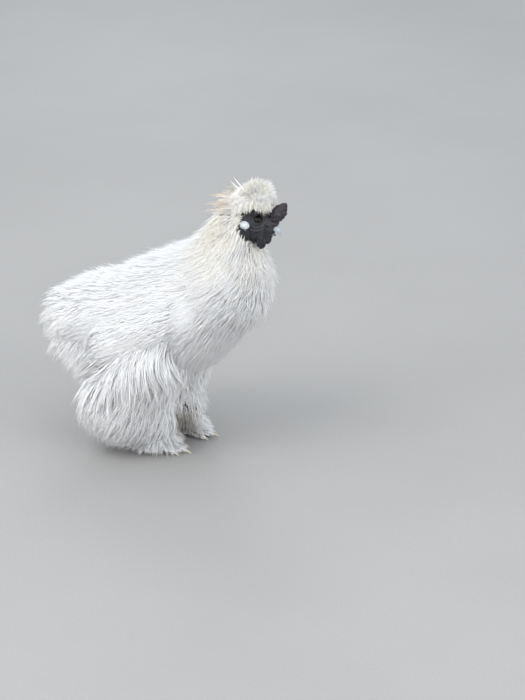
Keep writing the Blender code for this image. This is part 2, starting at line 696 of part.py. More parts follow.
def torso_makers():
    names = ("back", "breast", "neck", "tail", "thigh_right", "thigh_left")
    return (
        locks_on("back", TORSO_LOCKS, names, 11, off_wings, mate="breast")
        + locks_on("breast", TORSO_LOCKS, names, 12, off_wings, mate="back")
    )


def leg_makers(label, seed):
    names = ("back", "breast", "thigh_" + label, "shank_" + label)
    thigh, shank = "thigh_" + label, "shank_" + label
    return (
        locks_on(thigh, THIGH_LOCKS, names, seed, below_torso, SIDE[label], mate=shank)
        + locks_on(shank, SHANK_LOCKS, names, seed + 10, below_torso, SIDE[label], mate=thigh)
    )


def wing_makers(label, seed):
    names = ("back", "breast", "wing_" + label)
    return locks_on("wing_" + label, WING_COVERTS, names, seed, on_outer_wing) + flight_vanes(label)


def flipped(points):
    return [mirrored(point, -1.0) for point in points]


def feathered_makers():
    """Locks and vanes of every feathered part, in the order in which the parts lie over one another."""
    neck_names = ("back", "breast", "neck")
    tail_names = ("back", "tail")
    right_wing = wing_makers("right", 14)
    makers = {
        "crest": crest_feathers(),
        "neck": locks_on("neck", NECK_LOCKS, neck_names, 13, behind_face),
        "wing_right": right_wing,
        "wing_left": [(flipped(path), flipped(outward), *rest) for path, outward, *rest in right_wing],
        "torso": torso_makers(),
        "tail": locks_on("tail", TAIL_LOCKS, tail_names, 16) + tail_vanes(),
        "leg_right": leg_makers("right", 33),
        "leg_left": leg_makers("left", 33),
    }
    return makers


def cores(part, grow=0.0):
    """Core pieces of a feathered part."""
    if part == "torso":
        return [core("back", part, grow, sides=16), core("breast", part, grow, sides=16)]
    if part == "crest":
        return [ellipsoid(part, CREST_CENTRE, CREST_CORE * CREST_REACH, sides=10, rows=5, grow=grow)]
    if part.startswith("leg"):
        label = part.split("_")[1]
        return [core("thigh_" + label, part, grow), core("shank_" + label, part, grow, sides=10)]
    return [core(part, part, grow)]


# Head


def mandible(name, ridge, half_width, half_height, grow):
    """Half a beak, drawn along its ridge."""
    rings = []
    for index, centre in enumerate(ridge):
        along = ridge[min(index + 1, len(ridge) - 1)] - ridge[max(index - 1, 0)]
        wide, tall = half_width[index] + grow, half_height[index] + grow
        rings.append(ring_around(centre, along, wide, tall, sides=10))
    rings[0] = rings[0] - grow * unit(ridge[1] - ridge[0])
    rings[-1] = rings[-1] + grow * unit(ridge[-1] - ridge[-2])
    return lofted(name, rings)


def upper_beak(grow=0.0):
    return mandible("beak_upper", BEAK_RIDGE, BEAK_HALF_WIDTH, BEAK_HALF_HEIGHT, grow)


def lower_beak(grow=0.0):
    return mandible("beak_lower", JAW_RIDGE, JAW_HALF_WIDTH, JAW_HALF_HEIGHT, grow)


def comb_pieces(grow=0.0, columns=3):
    """A walnut comb: a leaning lump of flesh set with rows of small knobs; the first are next to the head."""
    radii = (COMB_BASE_RADIUS, COMB_TOP_RADIUS)
    pieces = [capsule("comb", COMB_BASE, COMB_TOP, radii, wide=COMB_WIDTH, sides=10, mid_rings=0, grow=grow)]
    lean_back = unit(COMB_TOP - COMB_BASE)
    front = np.array((lean_back[2], 0.0, -lean_back[0]))
    for row in range(3):
        for column in range(columns):
            share = 0.15 + 0.50 * column
            turn = 0.95 * (row - 1)
            radius = COMB_BASE_RADIUS + share * (COMB_TOP_RADIUS - COMB_BASE_RADIUS)
            across = np.array((0.0, COMB_WIDTH * math.sin(turn), 0.0))
            place = COMB_BASE + share * (COMB_TOP - COMB_BASE)
            place = place + KNOB_SEAT * radius * (math.cos(turn) * front + across)
            size = KNOB_RADIUS * (1.0 + 0.16 * math.sin(3.1 * row + 2.3 * column))
            pieces.append(ellipsoid("knob", place, (size,) * 3, sides=6, rows=3, grow=grow))
    return pieces


def wattle_pieces(side, grow=0.0):
    """A hanging wattle with two folds beside its middle."""
    root = mirrored(WATTLE_ROOT, side)
    length, depth, height = WATTLE_SIZE
    pieces = []
    for shift, size, thick in WATTLE_FOLDS:
        place = root + np.array((shift * length, side * 0.0006 * shift, -0.5 * WATTLE_DROP * size))
        shape = (WATTLE_WIDTH * length * size, depth * thick, height * size)
        pieces.append(ellipsoid("wattle", place, shape, sides=6, rows=4, grow=grow))
    return pieces


def eye(side, grow=0.0):
    return ellipsoid("eye", mirrored(EYE_CENTRE, side), (EYE_RADIUS,) * 3, sides=10, rows=6, grow=grow)


def earlobe(side, grow=0.0):
    return ellipsoid("earlobe", mirrored(LOBE_CENTRE, side), LOBE_SIZE, sides=8, rows=4, grow=grow)


def lid_ring(side, grow=0.0):
    """The rim of the lids, a ring of flesh round the eye."""
    centre = mirrored(EYE_CENTRE, side) + np.array((0.0, side * 0.0034, 0.0))
    bm = bmesh.new()
    around, across = 10, 4
    loops = []
    for turn in np.linspace(0.0, 2.0 * math.pi, around, endpoint=False):
        outward = np.array((math.cos(turn), 0.0, math.sin(turn)))
        loop = []
        for roll in np.linspace(0.0, 2.0 * math.pi, across, endpoint=False):
            reach = LID_RADIUS + (LID_THICKNESS + grow) * math.cos(roll)
            rise = (LID_THICKNESS + grow) * math.sin(roll)
            loop.append(bm.verts.new(centre + reach * outward + (0.0, rise, 0.0)))
        loops.append(loop)
    for here in range(around):
        for roll in range(across):
            first, second = loops[here], loops[(here + 1) % around]
            bm.faces.new((first[roll], first[(roll + 1) % across], second[(roll + 1) % across], second[roll]))
    bmesh.ops.recalc_face_normals(bm, faces=bm.faces)
    return linked("lid", bm)


def skull_pieces(grow=0.0):
    """Skull, throat and lids."""
    radii = (SKULL_BACK_RADIUS, SKULL_FRONT_RADIUS)
    throat_radii = (THROAT_RADIUS, THROAT_RADIUS - 0.002)
    skull = capsule("head", SKULL_BACK, SKULL_FRONT, radii, SKULL_WIDTH, sides=12, mid_rings=0, grow=grow)
    throat = ["throat", THROAT_BACK, THROAT_FRONT, throat_radii, THROAT_WIDTH]
    pieces = [skull, capsule(*throat, sides=8, cap_rings=2, mid_rings=0, grow=grow)]
    return pieces + [lid_ring(side, grow) for side in SIDE.values()]


def head_ways():
    """Grown copies of all that is on the bare head, to cut the plumage clear of it."""
    ways = [joined("head_way", skull_pieces(GAP)), upper_beak(GAP), lower_beak(GAP)]
    ways.append(joined("comb_way", comb_pieces(GAP)))
    for side in SIDE.values():
        ways += [eye(side, GAP), earlobe(side, GAP), joined("wattle_way", wattle_pieces(side, GAP))]
    return ways


def head_parts():
    """Head, beak, comb, eyes, lobes and wattles, each clear of the next by the gap."""
    upper, lower = upper_beak(), lower_beak()
    for side in SIDE.values():
        cut(upper, ellipsoid("nostril", mirrored(NOSTRIL_CENTRE, side), NOSTRIL_SIZE, sides=8, rows=4))
    parts = {"beak_upper": upper, "beak_lower": cut(lower, upper_beak(GAP))}
    parts["comb"] = cut(joined("comb", comb_pieces()), upper_beak(GAP))
    ways = [upper_beak(GAP), lower_beak(GAP), joined("comb_way", comb_pieces(GAP, columns=1))]
    gape = SKULL + (0.5 * (BEAK_RIDGE[0] - SKULL + JAW_RIDGE[0] - SKULL)) + (-0.5 * GAPE_LENGTH, 0.0, -0.0008)
    slit = (GAPE_LENGTH, 0.03, GAPE_HALF_HEIGHT)
    ways.append(ellipsoid("gape", gape, slit, sides=8, rows=4))
    for label, side in SIDE.items():
        parts["eye_" + label] = eye(side)
        parts["earlobe_" + label] = earlobe(side)
        parts["wattle_" + label] = cut(joined("wattle", wattle_pieces(side)), lower_beak(GAP))
        ways += [eye(side, GAP), earlobe(side, GAP), joined("wattle_way", wattle_pieces(side, GAP))]
    parts["head"] = cut(joined("head", skull_pieces()), *ways)
    return parts


# Feet


def foot_pad(label):
    """The middle of the sole's pad, a little ahead of the ankle."""
    _, _, ankle = leg_joints(label)
    return np.array((ankle[0] + PAD_AHEAD, ankle[1], PAD_HEIGHT))


def toe_path(label, toe):
    """Centre line of one toe, from the pad out."""
    bearing, length, base, tip, _ = TOES[toe]
    heading = math.radians(bearing)
    forward = np.array((math.cos(heading), -SIDE[label] * math.sin(heading), 0.0))
    share = np.linspace(0.0, 1.0, 4)[:, None]
    radius = base + share[:, 0] * (tip - base)
    path = foot_pad(label) + forward * length * share
    path[:, 2] = 0.80 * radius
    if toe == "extra":
        path[:, 2] = 0.006 + EXTRA_TOE_LIFT * share[:, 0] ** 1.4
    return path, radius


def toe(label, name, grow=0.0):
    """A toe with its joints a little swollen and its sole flat on the floor."""
    path, radius = toe_path(label, name)
    rings = []
    for index, centre in enumerate(path):
        along = path[min(index + 1, len(path) - 1)] - path[max(index - 1, 0)]
        size = radius[index] * (1.0 + 0.12 * (index % 2)) + grow
        ring = ring_around(centre, along, size, size, sides=6)
        ring[:, 2] = np.maximum(ring[:, 2], -grow)
        rings.append(ring)
    rings[-1] = rings[-1] + grow * unit(path[-1] - path[-2])
    return lofted("toe", rings)


def claw(label, name, grow=0.0):
    """A curved claw that starts on the end of its toe."""
    path, radius = toe_path(label, name)
    length = TOES[name][4]
    along = unit(path[-1] - path[-2])
    flat = unit(along * np.array((1.0, 1.0, 0.0)))
    start = path[-1] + GAP * along
    rings = []
    for share in np.linspace(0.0, 1.0, 3):
        centre = start + flat * length * share
        centre[2] = max(start[2] - 0.18 * length * share**2, 0.0013)
        size = radius[-1] * 0.80 * (1.0 - 0.88 * share)
        ring = ring_around(centre, flat, size * 0.8 + grow, size + grow, sides=6)
        ring[:, 2] = np.maximum(ring[:, 2], 0.0004 - grow)
        rings.append(ring)
    rings[0] = rings[0] - grow * flat
    rings[-1] = rings[-1] + grow * flat
    return lofted("claw", rings)


def foot_pieces(label, grow=0.0):
    """Pad, ankle, five toes and the feathers of the outer side."""
    _, _, ankle = leg_joints(label)
    pad = foot_pad(label)
    size = (PAD_RADIUS, PAD_RADIUS * 0.95, PAD_HALF_HEIGHT)
    body = ellipsoid("foot", pad, size, sides=8, rows=5, grow=grow)
    for vertex in body.data.vertices:
        vertex.co.z = max(vertex.co.z, -grow)
    low = pad + (0.0, 0.0, 0.003)
    stub = capsule("stub", low, ankle, STUB_RADII, sides=8, cap_rings=2, mid_rings=0, grow=grow)
    for vertex in stub.data.vertices:
        vertex.co.z = max(vertex.co.z, 0.0006 - grow)
    pieces = [body, stub] + [toe(label, name, grow) for name in TOES]
    return pieces + grown(foot_feathers(label), grow)


def foot_parts(label):
    """One foot and its five claws."""
    parts = {"foot_" + label: joined("foot", foot_pieces(label))}
    for name in TOES:
        parts["claw_" + name + "_" + label] = claw(label, name)
    cut(parts["foot_" + label], *[claw(label, name, 0.9 * GAP) for name in TOES])
    return parts


# Assembly


def boxes_meet(one, other):
    first = np.array([vertex.co for vertex in one.data.vertices])
    second = np.array([vertex.co for vertex in other.data.vertices])
    return bool(np.all(first.min(0) < second.max(0)) and np.all(second.min(0) < first.max(0)))


def plumage_parts():
    """The feathered parts, each cut clear of the bare parts and of those that lie over it."""
    makers = feathered_makers()
    ways = head_ways()
    for label in SIDE:
        ways.append(joined("foot_way", foot_pieces(label, GAP)))
        ways += [claw(label, name, GAP) for name in TOES]
    parts = {}
    for name, blades in makers.items():
        body = joined(name, cores(name) + grown(blades, 0.0))
        near = [copied(way) for way in ways if boxes_meet(body, way)]
        if name == "neck":
            near.append(block("face_edge", FACE_CORNER + 0.5 * BLOCK_SIZE * FACE_EDGE_RISE, FACE_EDGE_FACING))
        if name.startswith("leg"):
            side = SIDE[name.split("_")[1]]
            near.append(block("midline", (0.0, side * GAP, 0.05), (0.0, -side, 0.0)))
        cut(body, *near)
        ways.append(joined(name + "_way", cores(name, GAP) + grown(blades, LOCK_GAP)))
        parts[name] = body
    discard(*ways)
    return parts


def copied(source):
    made = bpy.data.objects.new(source.name, source.data.copy())
    bpy.context.scene.collection.objects.link(made)
    return made


def main():
    clear_scene()
    materials = {
        "plumage": finish_material("white_plumage", WHITE, 0.8),
        "crest": finish_material("cream_crest", CREAM, 0.8),
        "neck": finish_material("cream_neck", CREAM, 0.8),
        "head": finish_material("mulberry_skin", MULBERRY, 0.5),
        "comb": finish_material("mulberry_comb", DARK_COMB, 0.45),
        "wattle": finish_material("mulberry_wattle", DARK_COMB, 0.45),
        "beak": finish_material("blue_horn", BLUE_HORN, 0.35),
        "earlobe": finish_material("pale_lobe", LOBE_WHITE, 0.5),
        "eye": finish_material("dark_eye", BLACK, 0.08),
        "foot": finish_material("slate_skin", SLATE, 0.6),
        "claw": finish_material("pale_horn", PALE_HORN, 0.4),
    }
    parts = {**head_parts(), **foot_parts("right"), **foot_parts("left"), **plumage_parts()}
    for name, part in parts.items():
        keep_largest(part)
        part.name = name
        part.data.name = name
        part.data.materials.clear()
        part.data.materials.append(materials.get(name.split("_")[0], materials["plumage"]))
        part.data.shade_smooth()
        part.data.set_sharp_from_angle(angle=math.radians(40.0))


main()
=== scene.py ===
import math

import bpy
import numpy as np
from mathutils import Matrix


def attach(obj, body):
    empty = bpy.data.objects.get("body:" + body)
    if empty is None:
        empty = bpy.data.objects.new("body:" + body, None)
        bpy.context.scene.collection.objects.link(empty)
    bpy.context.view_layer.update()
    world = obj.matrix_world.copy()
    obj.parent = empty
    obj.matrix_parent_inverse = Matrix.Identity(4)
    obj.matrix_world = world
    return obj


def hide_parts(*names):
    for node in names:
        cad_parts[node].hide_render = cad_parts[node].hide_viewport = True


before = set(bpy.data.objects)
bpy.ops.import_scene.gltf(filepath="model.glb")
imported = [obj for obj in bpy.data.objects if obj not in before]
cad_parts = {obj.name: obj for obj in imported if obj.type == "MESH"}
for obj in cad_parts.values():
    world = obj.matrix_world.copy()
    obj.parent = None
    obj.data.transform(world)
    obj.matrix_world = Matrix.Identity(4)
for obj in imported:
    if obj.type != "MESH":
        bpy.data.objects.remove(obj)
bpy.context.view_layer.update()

sides = {"right": -1.0, "left": 1.0}
golden = (math.sqrt(5.0) - 1.0) / 2.0
fullTurn = 2.0 * math.pi


# small helpers

def unit(vectors):
    # each row divided by its own length
    vectors = np.asarray(vectors, float)
    return vectors / np.maximum(np.linalg.norm(vectors, axis=-1, keepdims=True), 1e-9)


def ease(low, high, value):
    # 0 below low, 1 above high, 3t^2 - 2t^3 between
    share = np.clip((np.asarray(value, float) - low) / (high - low), 0.0, 1.0)
    return share * share * (3.0 - 2.0 * share)


def between(pair, share):
    # first + share x (second - first)
    return pair[0] + share * (pair[1] - pair[0])


def rows(*columns):
    # columns of numbers side by side, with a single number repeated in every row
    return np.stack(np.broadcast_arrays(*columns), axis=-1).astype(float)


def evenly(count):
    # shares from 0 to 1 that fill the range evenly in any order: whole multiples of the golden ratio
    return np.mod(np.arange(count) * golden, 1.0)


def around(count):
    # angles of a full turn in equal steps, without the last
    return np.linspace(0.0, fullTurn, count, endpoint=False)


def onSide(point, side):
    # a point of the left side on either side
    return np.array((point[0], side * point[1], point[2]))


def makeMesh(name, points, corners, starts, material=None):
    # points n x 3, then the vertex numbers of every face one after another and where each face starts
    mesh = bpy.data.meshes.new(name)
    mesh.vertices.add(len(points))
    mesh.vertices.foreach_set("co", np.ascontiguousarray(points, dtype=np.float32).ravel())
    mesh.loops.add(len(corners))
    mesh.loops.foreach_set("vertex_index", np.ascontiguousarray(corners, dtype=np.int32))
    mesh.polygons.add(len(starts))
    mesh.polygons.foreach_set("loop_start", np.ascontiguousarray(starts, dtype=np.int32))
    mesh.polygons.foreach_set("use_smooth", np.ones(len(starts), bool))
    mesh.update(calc_edges=True)
    made = bpy.data.objects.new(name, mesh)
    bpy.context.scene.collection.objects.link(made)
    if material:
        mesh.materials.append(material)
    return made


def tubeFaces(ringCount, ringPoints):
    # faces of a closed tube whose first and last vertex are its end points, with rings of points between them
    ring = np.arange(ringCount)[:, None] * ringPoints + 1
    here = ring + np.arange(ringPoints)
    after = ring + (np.arange(ringPoints) + 1) % ringPoints
    quads = np.stack((here[:-1], after[:-1], after[1:], here[1:]), axis=-1).reshape(-1, 4)
    last = ringCount * ringPoints + 1
    low = np.stack((np.zeros(ringPoints, int), after[0], here[0]), axis=-1)
    high = np.stack((np.full(ringPoints, last), here[-1], after[-1]), axis=-1)
    corners = np.concatenate((quads.ravel(), low.ravel(), high.ravel()))
    sizes = np.concatenate((np.full(len(quads), 4), np.full(2 * ringPoints, 3)))
    return corners, np.concatenate(([0], np.cumsum(sizes)[:-1]))


def closedSurface(name, rings, ends, material=None):
    # rings: r x a x 3 points on closed loops, ends: the two points that close it
    points = np.concatenate((ends[0][None], rings.reshape(-1, 3), ends[1][None]))
    corners, starts = tubeFaces(*rings.shape[:2])
    normal = np.cross(rings[0, 1] - rings[0, 0], rings[1, 0] - rings[0, 0])
    made = makeMesh(name, points, corners, starts, material)
    if np.dot(normal, rings[0, 0] - points.mean(axis=0)) < 0.0:
        made.data.flip_normals()
    return made


def waysRound(grid, pole):
    # directions over a ball, rings between two poles on the axis numbered pole: cos p on it, sin p cos t and
    # sin p sin t on the others, with the poles first and last
    polar = np.linspace(0.0, math.pi, grid[0] + 2)[1:-1, None]
    turn = around(grid[1])[None]
    parts = [np.sin(polar) * np.cos(turn), np.sin(polar) * np.sin(turn)]
    parts.insert(pole, np.cos(polar) + 0.0 * turn)
    end = np.eye(3)[pole]
    return np.concatenate((end[None], np.stack(parts, axis=-1).reshape(-1, 3), -end[None]))


def ballSurface(name, points, grid, material=None):
    # the closed surface of points that were moved along the directions of waysRound
    return closedSurface(name, points[1:-1].reshape(*grid, 3), (points[0], points[-1]), material)


def blob(name, centre, size, bumps=None):
    # an ellipsoid: centre + direction x size, times a function of the direction where there is one
    grid = (40, 64)
    ways = waysRound(grid, 0)
    swell = bumps(ways)[:, None] if bumps else 1.0
    return ballSurface(name, centre + ways * np.array(size) * swell, grid)


def loopsAlong(path, across, upward, profileX, profileY):
    # a profile carried along a path: path + across * x + upward * y, whole arrays at once
    return path[:, None] + across[:, None] * profileX[..., None] + upward[:, None] * profileY[..., None]


def capsuleSurface(name, start, end, radii, wide=1.0, ringPoints=24, capRings=6, midRings=4):
    # a tapered capsule: rings of the two caps and of the side between them, wider or narrower along Y
    start, end = np.asarray(start, float), np.asarray(end, float)
    along = unit(end - start)
    across = unit(np.array((0.0, 1.0, 0.0)) - along[1] * along)
    upward = np.cross(along, across)
    tilt = np.radians(np.linspace(-90.0, 0.0, capRings + 1)[1:])
    share = np.linspace(0.0, 1.0, midRings + 2)[1:-1]
    centres = np.concatenate((
        start + radii[0] * np.sin(tilt)[:, None] * along,
        start + share[:, None] * (end - start),
        end + radii[1] * np.sin(-tilt[::-1])[:, None] * along,
    ))
    size = np.concatenate((radii[0] * np.cos(tilt), between(radii, share), radii[1] * np.cos(tilt[::-1])))
    turn = around(ringPoints)
    rings = loopsAlong(
        centres, np.tile(across, (len(size), 1)), np.tile(upward, (len(size), 1)),
        wide * size[:, None] * np.cos(turn), size[:, None] * np.sin(turn),
    )
    return closedSurface(name, rings, (start - radii[0] * along, end + radii[1] * along))


def settle(target):
    # puts the result of the modifiers into the mesh
    graph = bpy.context.evaluated_depsgraph_get()
    result = bpy.data.meshes.new_from_object(target.evaluated_get(graph))
    target.modifiers.clear()
    target.data = result


def fused(name, parts, voxel=0.0):
    # one closed surface from overlapping closed ones, by a union, or by voxels of the given size
    body = parts[0]
    body.name = name
    if voxel:
        with bpy.context.temp_override(active_object=body, selected_editable_objects=parts, object=body):
            bpy.ops.object.join()
        remesh = body.modifiers.new("voxels", "REMESH")
        remesh.mode = "VOXEL"
        remesh.voxel_size = voxel
        relax = body.modifiers.new("relax", "SMOOTH")
        relax.iterations = 6
        settle(body)
        return body
    group = bpy.data.collections.new(name + "Parts")
    for part in parts[1:]:
        group.objects.link(part)
    join = body.modifiers.new("join", "BOOLEAN")
    join.operation = "UNION"
    join.operand_type = "COLLECTION"
    join.collection = group
    join.solver = "MANIFOLD"
    settle(body)
    for part in parts[1:]:
        bpy.data.objects.remove(part, do_unlink=True)
    bpy.data.collections.remove(group)
    return body


def pointsOf(piece):
    # its vertices as rows of x, y, z
    found = np.zeros(len(piece.data.vertices) * 3, np.float32)
    piece.data.vertices.foreach_get("co", found)
    return found.reshape(-1, 3).astype(float)


def movePoints(piece, points):
    # puts rows of x, y, z back into its vertices
    piece.data.vertices.foreach_set("co", np.ascontiguousarray(points, dtype=np.float32).ravel())
    piece.data.update()


def setValues(piece, name, values):
    # one number for each vertex, which a material reads by this name
    layer = piece.data.attributes.new(name, "FLOAT", "POINT")
    layer.data.foreach_set("value", np.ascontiguousarray(values, dtype=np.float32))


def place(piece, slotName, *nodes):
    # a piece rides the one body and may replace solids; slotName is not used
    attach(piece, "root")
    if nodes:
        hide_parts(*nodes)


# camera and lights

viewPlan = {
    "turn": 22.0,  # degrees forward of the bird's right side
    "height": 22.7,  # degrees above the horizon
    "distance": 3.418,
    "shiftRight": 0.1253,
    "shiftUp": 0.1139,
    "lens": 138.9,
    "sensor": 36.0,
    "clip": (0.05, 50.0),
}

lightPlan = {
    "sky": ((0.88, 0.93, 1.0), 1.02),
    "aim": (0.0, 0.0, 0.17),
    # place, size, watts, colour
    "lamps": {
        "key": ((-0.7, -1.7, 2.5), 1.8, 34.0, (1.0, 0.99, 0.975)),
        "front": ((1.9, -1.1, 1.1), 1.6, 22.0, (1.0, 0.99, 0.97)),
        "rim": ((-0.8, 1.9, 1.7), 1.2, 13.0, (0.95, 0.98, 1.0)),
        "low": ((-1.5, -1.9, 0.45), 1.4, 20.0, (1.0, 0.98, 0.95)),
    },
}


def stand(thing, spot, right, up, back):
    # links an object and turns it so that it looks against back
    bpy.context.scene.collection.objects.link(thing)
    axes = Matrix(np.stack((right, up, back), axis=1).tolist())
    thing.matrix_world = Matrix.Translation(spot) @ axes.to_4x4()


def addCamera():
    # on the line of sight at its distance, moved aside and up so that the bird sits where the photo has it
    turn, height = math.radians(viewPlan["turn"]), math.radians(viewPlan["height"])
    right = np.array((math.cos(turn), math.sin(turn), 0.0))
    level = np.array((-math.sin(turn), math.cos(turn), 0.0))
    upright = np.array((0.0, 0.0, 1.0))
    up = math.sin(height) * level + math.cos(height) * upright
    look = math.cos(height) * level - math.sin(height) * upright
    data = bpy.data.cameras.new("photoCamera")
    data.lens = viewPlan["lens"]
    data.sensor_width = viewPlan["sensor"]
    data.sensor_fit = "AUTO"
    data.clip_start, data.clip_end = viewPlan["clip"]
    camera = bpy.data.objects.new("photoCamera", data)
    spot = right * viewPlan["shiftRight"] + up * viewPlan["shiftUp"] - look * viewPlan["distance"]
    stand(camera, spot, right, up, -look)
    bpy.context.scene.camera = camera


def addLights():
    # an even sky and four round lamps turned to the bird's middle
    colour, strength = lightPlan["sky"]
    world = bpy.data.worlds.new("softSky")
    bpy.context.scene.world = world
    bpy.context.scene.view_settings.view_transform = "Standard"
    world.use_nodes = True
    sky = world.node_tree.nodes["Background"]
    sky.inputs["Color"].default_value = (*colour, 1.0)
    sky.inputs["Strength"].default_value = strength
    for name, (spot, size, watts, colour) in lightPlan["lamps"].items():
        data = bpy.data.lights.new(name + "Light", "AREA")
        data.shape, data.size = "DISK", size
        data.energy, data.color = watts, colour
        back = unit(np.array(spot) - lightPlan["aim"])
        across = unit(np.cross((0.0, 0.0, 1.0), back))
        stand(bpy.data.objects.new(name + "Light", data), spot, across, np.cross(back, across), back)


# materials

def addNode(tree, kind, values=None, **settings):
    # a node whose sockets get the given numbers or links
    node = tree.nodes.new(kind)
    for key, value in settings.items():
        setattr(node, key, value)
    for key, value in (values or {}).items():
        if isinstance(value, bpy.types.NodeSocket):
            tree.links.new(value, node.inputs[key])
        else:
            node.inputs[key].default_value = value
    return node


def mixed(tree, share, first, second, blend="MIX"):
    # colour: first where share is 0, second where it is 1
    socket = bpy.types.NodeSocket
    colours = [value if isinstance(value, socket) else (*value, 1.0) for value in (first, second)]
    values = {0: share, 6: colours[0], 7: colours[1]}
    return addNode(tree, "ShaderNodeMix", values, data_type="RGBA", blend_type=blend).outputs[2]


def worked(tree, operation, *values, clamp=False):
    # one step of arithmetic on numbers or sockets
    return addNode(
        tree, "ShaderNodeMath", dict(enumerate(values)), operation=operation, use_clamp=clamp
    ).outputs[0]


def ranged(tree, value, low, high, toLow=0.0, toHigh=1.0):
    # toLow below low, toHigh above high, eased between
    return addNode(
        tree, "ShaderNodeMapRange",
        {"Value": value, "From Min": low, "From Max": high, "To Min": toLow, "To Max": toHigh},
        interpolation_type="SMOOTHSTEP",
    ).outputs["Result"]


def noise(tree, where, scale, detail=3.0, roughness=0.55):
    # grains of about 1 / scale, with finer ones in them
    values = {"Vector": where, "Scale": scale, "Detail": detail, "Roughness": roughness}
    return addNode(tree, "ShaderNodeTexNoise", values).outputs["Fac"]


def attribute(tree, name):
    # the numbers that setValues gave a piece
    return addNode(tree, "ShaderNodeAttribute", attribute_name=name).outputs["Fac"]


def stretchedLines(tree, where, scale):
    # noise drawn out into lines by a different scale on each axis
    stretched = addNode(tree, "ShaderNodeMapping", {"Vector": where, "Scale": scale}).outputs[0]
    return noise(tree, stretched, 1.0, 4.0)


def bumped(tree, shader, height, strength, distance):
    # turns the shader's normal by a height
    bump = addNode(tree, "ShaderNodeBump", {"Height": height, "Strength": strength, "Distance": distance})
    tree.links.new(bump.outputs["Normal"], shader.inputs["Normal"])


def newGroup(name, inputs, outputs):
    # a node group with named sockets: (name, kind, value)
    tree = bpy.data.node_groups.new(name, "ShaderNodeTree")
    for label, kind, value in inputs:
        socket = tree.interface.new_socket(name=label, in_out="INPUT", socket_type="NodeSocket" + kind)
        if value is not None:
            socket.default_value = value
    for label, kind in outputs:
        tree.interface.new_socket(name=label, in_out="OUTPUT", socket_type="NodeSocket" + kind)
    return tree, tree.nodes.new("NodeGroupInput").outputs, tree.nodes.new("NodeGroupOutput")


def newMaterial(name):
    # a material with its tree, its shader and the place on the bird
    material = bpy.data.materials.new(name)
    material.use_nodes = True
    tree = material.node_tree
    where = addNode(tree, "ShaderNodeTexCoord").outputs["Object"]
    return material, tree, tree.nodes["Principled BSDF"], where


def placeGroup(tree, group, values):
    # a node of a group, with its inputs set or linked
    return addNode(tree, "ShaderNodeGroup", values, node_tree=group).outputs


# colours, and between which places on the bird each marking fades in
plumageLook = {
    "white": (0.955, 0.962, 0.970),
    "cream": (0.965, 0.930, 0.820),
    "creamHeights": (0.215, 0.300),
    "creamAhead": (0.020, 0.085),
    "buff": (0.800, 0.640, 0.400),  # at the back of the crest
    "buffHeights": (0.312, 0.338),
    "buffBehind": (0.106, 0.078),
    "shade": (0.915, 0.930, 0.948),  # painted shade deep between the strands, where the coat shades itself
    "soil": (0.330, 0.285, 0.230),  # wet dust on the lowest fluff between the feet
    "soilHeights": (0.056, 0.030),
    "soilInside": (0.026, 0.010),
    "soilAhead": (-0.012, 0.008),
}


def plumageTones():
    # white, cream on neck and crest, buff at the back of the crest, soiled near the floor, and painted shade
    # towards the roots of the strands
    tree, given, result = newGroup(
        "plumageTones",
        (("Place", "Vector", None), ("Reach", "Float", 1.0), ("Strand", "Float", 0.5)),
        (("Colour", "Color"),),
    )
    look = plumageLook
    split = addNode(tree, "ShaderNodeSeparateXYZ", {"Vector": given["Place"]}).outputs
    broad = noise(tree, given["Place"], 22.0)
    fine = noise(tree, given["Place"], 95.0)
    high = ranged(tree, split["Z"], *look["creamHeights"])
    forward = ranged(tree, split["X"], *look["creamAhead"])
    cream = worked(tree, "MULTIPLY", worked(tree, "MULTIPLY", high, forward), ranged(tree, broad, 0.30, 0.62))
    flank = worked(tree, "MULTIPLY", ranged(tree, fine, 0.50, 0.75), 0.40)
    crown = ranged(tree, split["Z"], *look["buffHeights"])
    crestBack = worked(tree, "MULTIPLY", crown, ranged(tree, split["X"], *look["buffBehind"]))
    inner = ranged(tree, worked(tree, "ABSOLUTE", split["Y"]), *look["soilInside"])
    low = worked(
        tree, "MULTIPLY", ranged(tree, split["Z"], *look["soilHeights"]), ranged(tree, fine, 0.25, 0.50)
    )
    ahead = worked(tree, "MULTIPLY", inner, ranged(tree, split["X"], *look["soilAhead"]))
    low = worked(tree, "MULTIPLY", low, ahead)
    colour = mixed(tree, worked(tree, "ADD", cream, flank, clamp=True), look["white"], look["cream"])
    colour = mixed(tree, worked(tree, "MULTIPLY", crestBack, 0.85), colour, look["buff"])
    colour = mixed(tree, worked(tree, "MULTIPLY", low, 0.90), colour, look["soil"])
    # painted shade: strands darken towards their roots, where the coat shades itself
    deep = worked(tree, "SUBTRACT", 1.0, ranged(tree, given["Reach"], 0.0, 0.45))
    colour = mixed(tree, worked(tree, "MULTIPLY", deep, 0.65), colour, look["shade"])
    varied = worked(tree, "MULTIPLY_ADD", given["Strand"], 0.10, 0.92)
    dim = addNode(tree, "ShaderNodeCombineColor", {"Red": varied, "Green": varied, "Blue": varied}).outputs[0]
    tree.links.new(mixed(tree, 1.0, colour, dim, "MULTIPLY"), result.inputs["Colour"])
    return tree


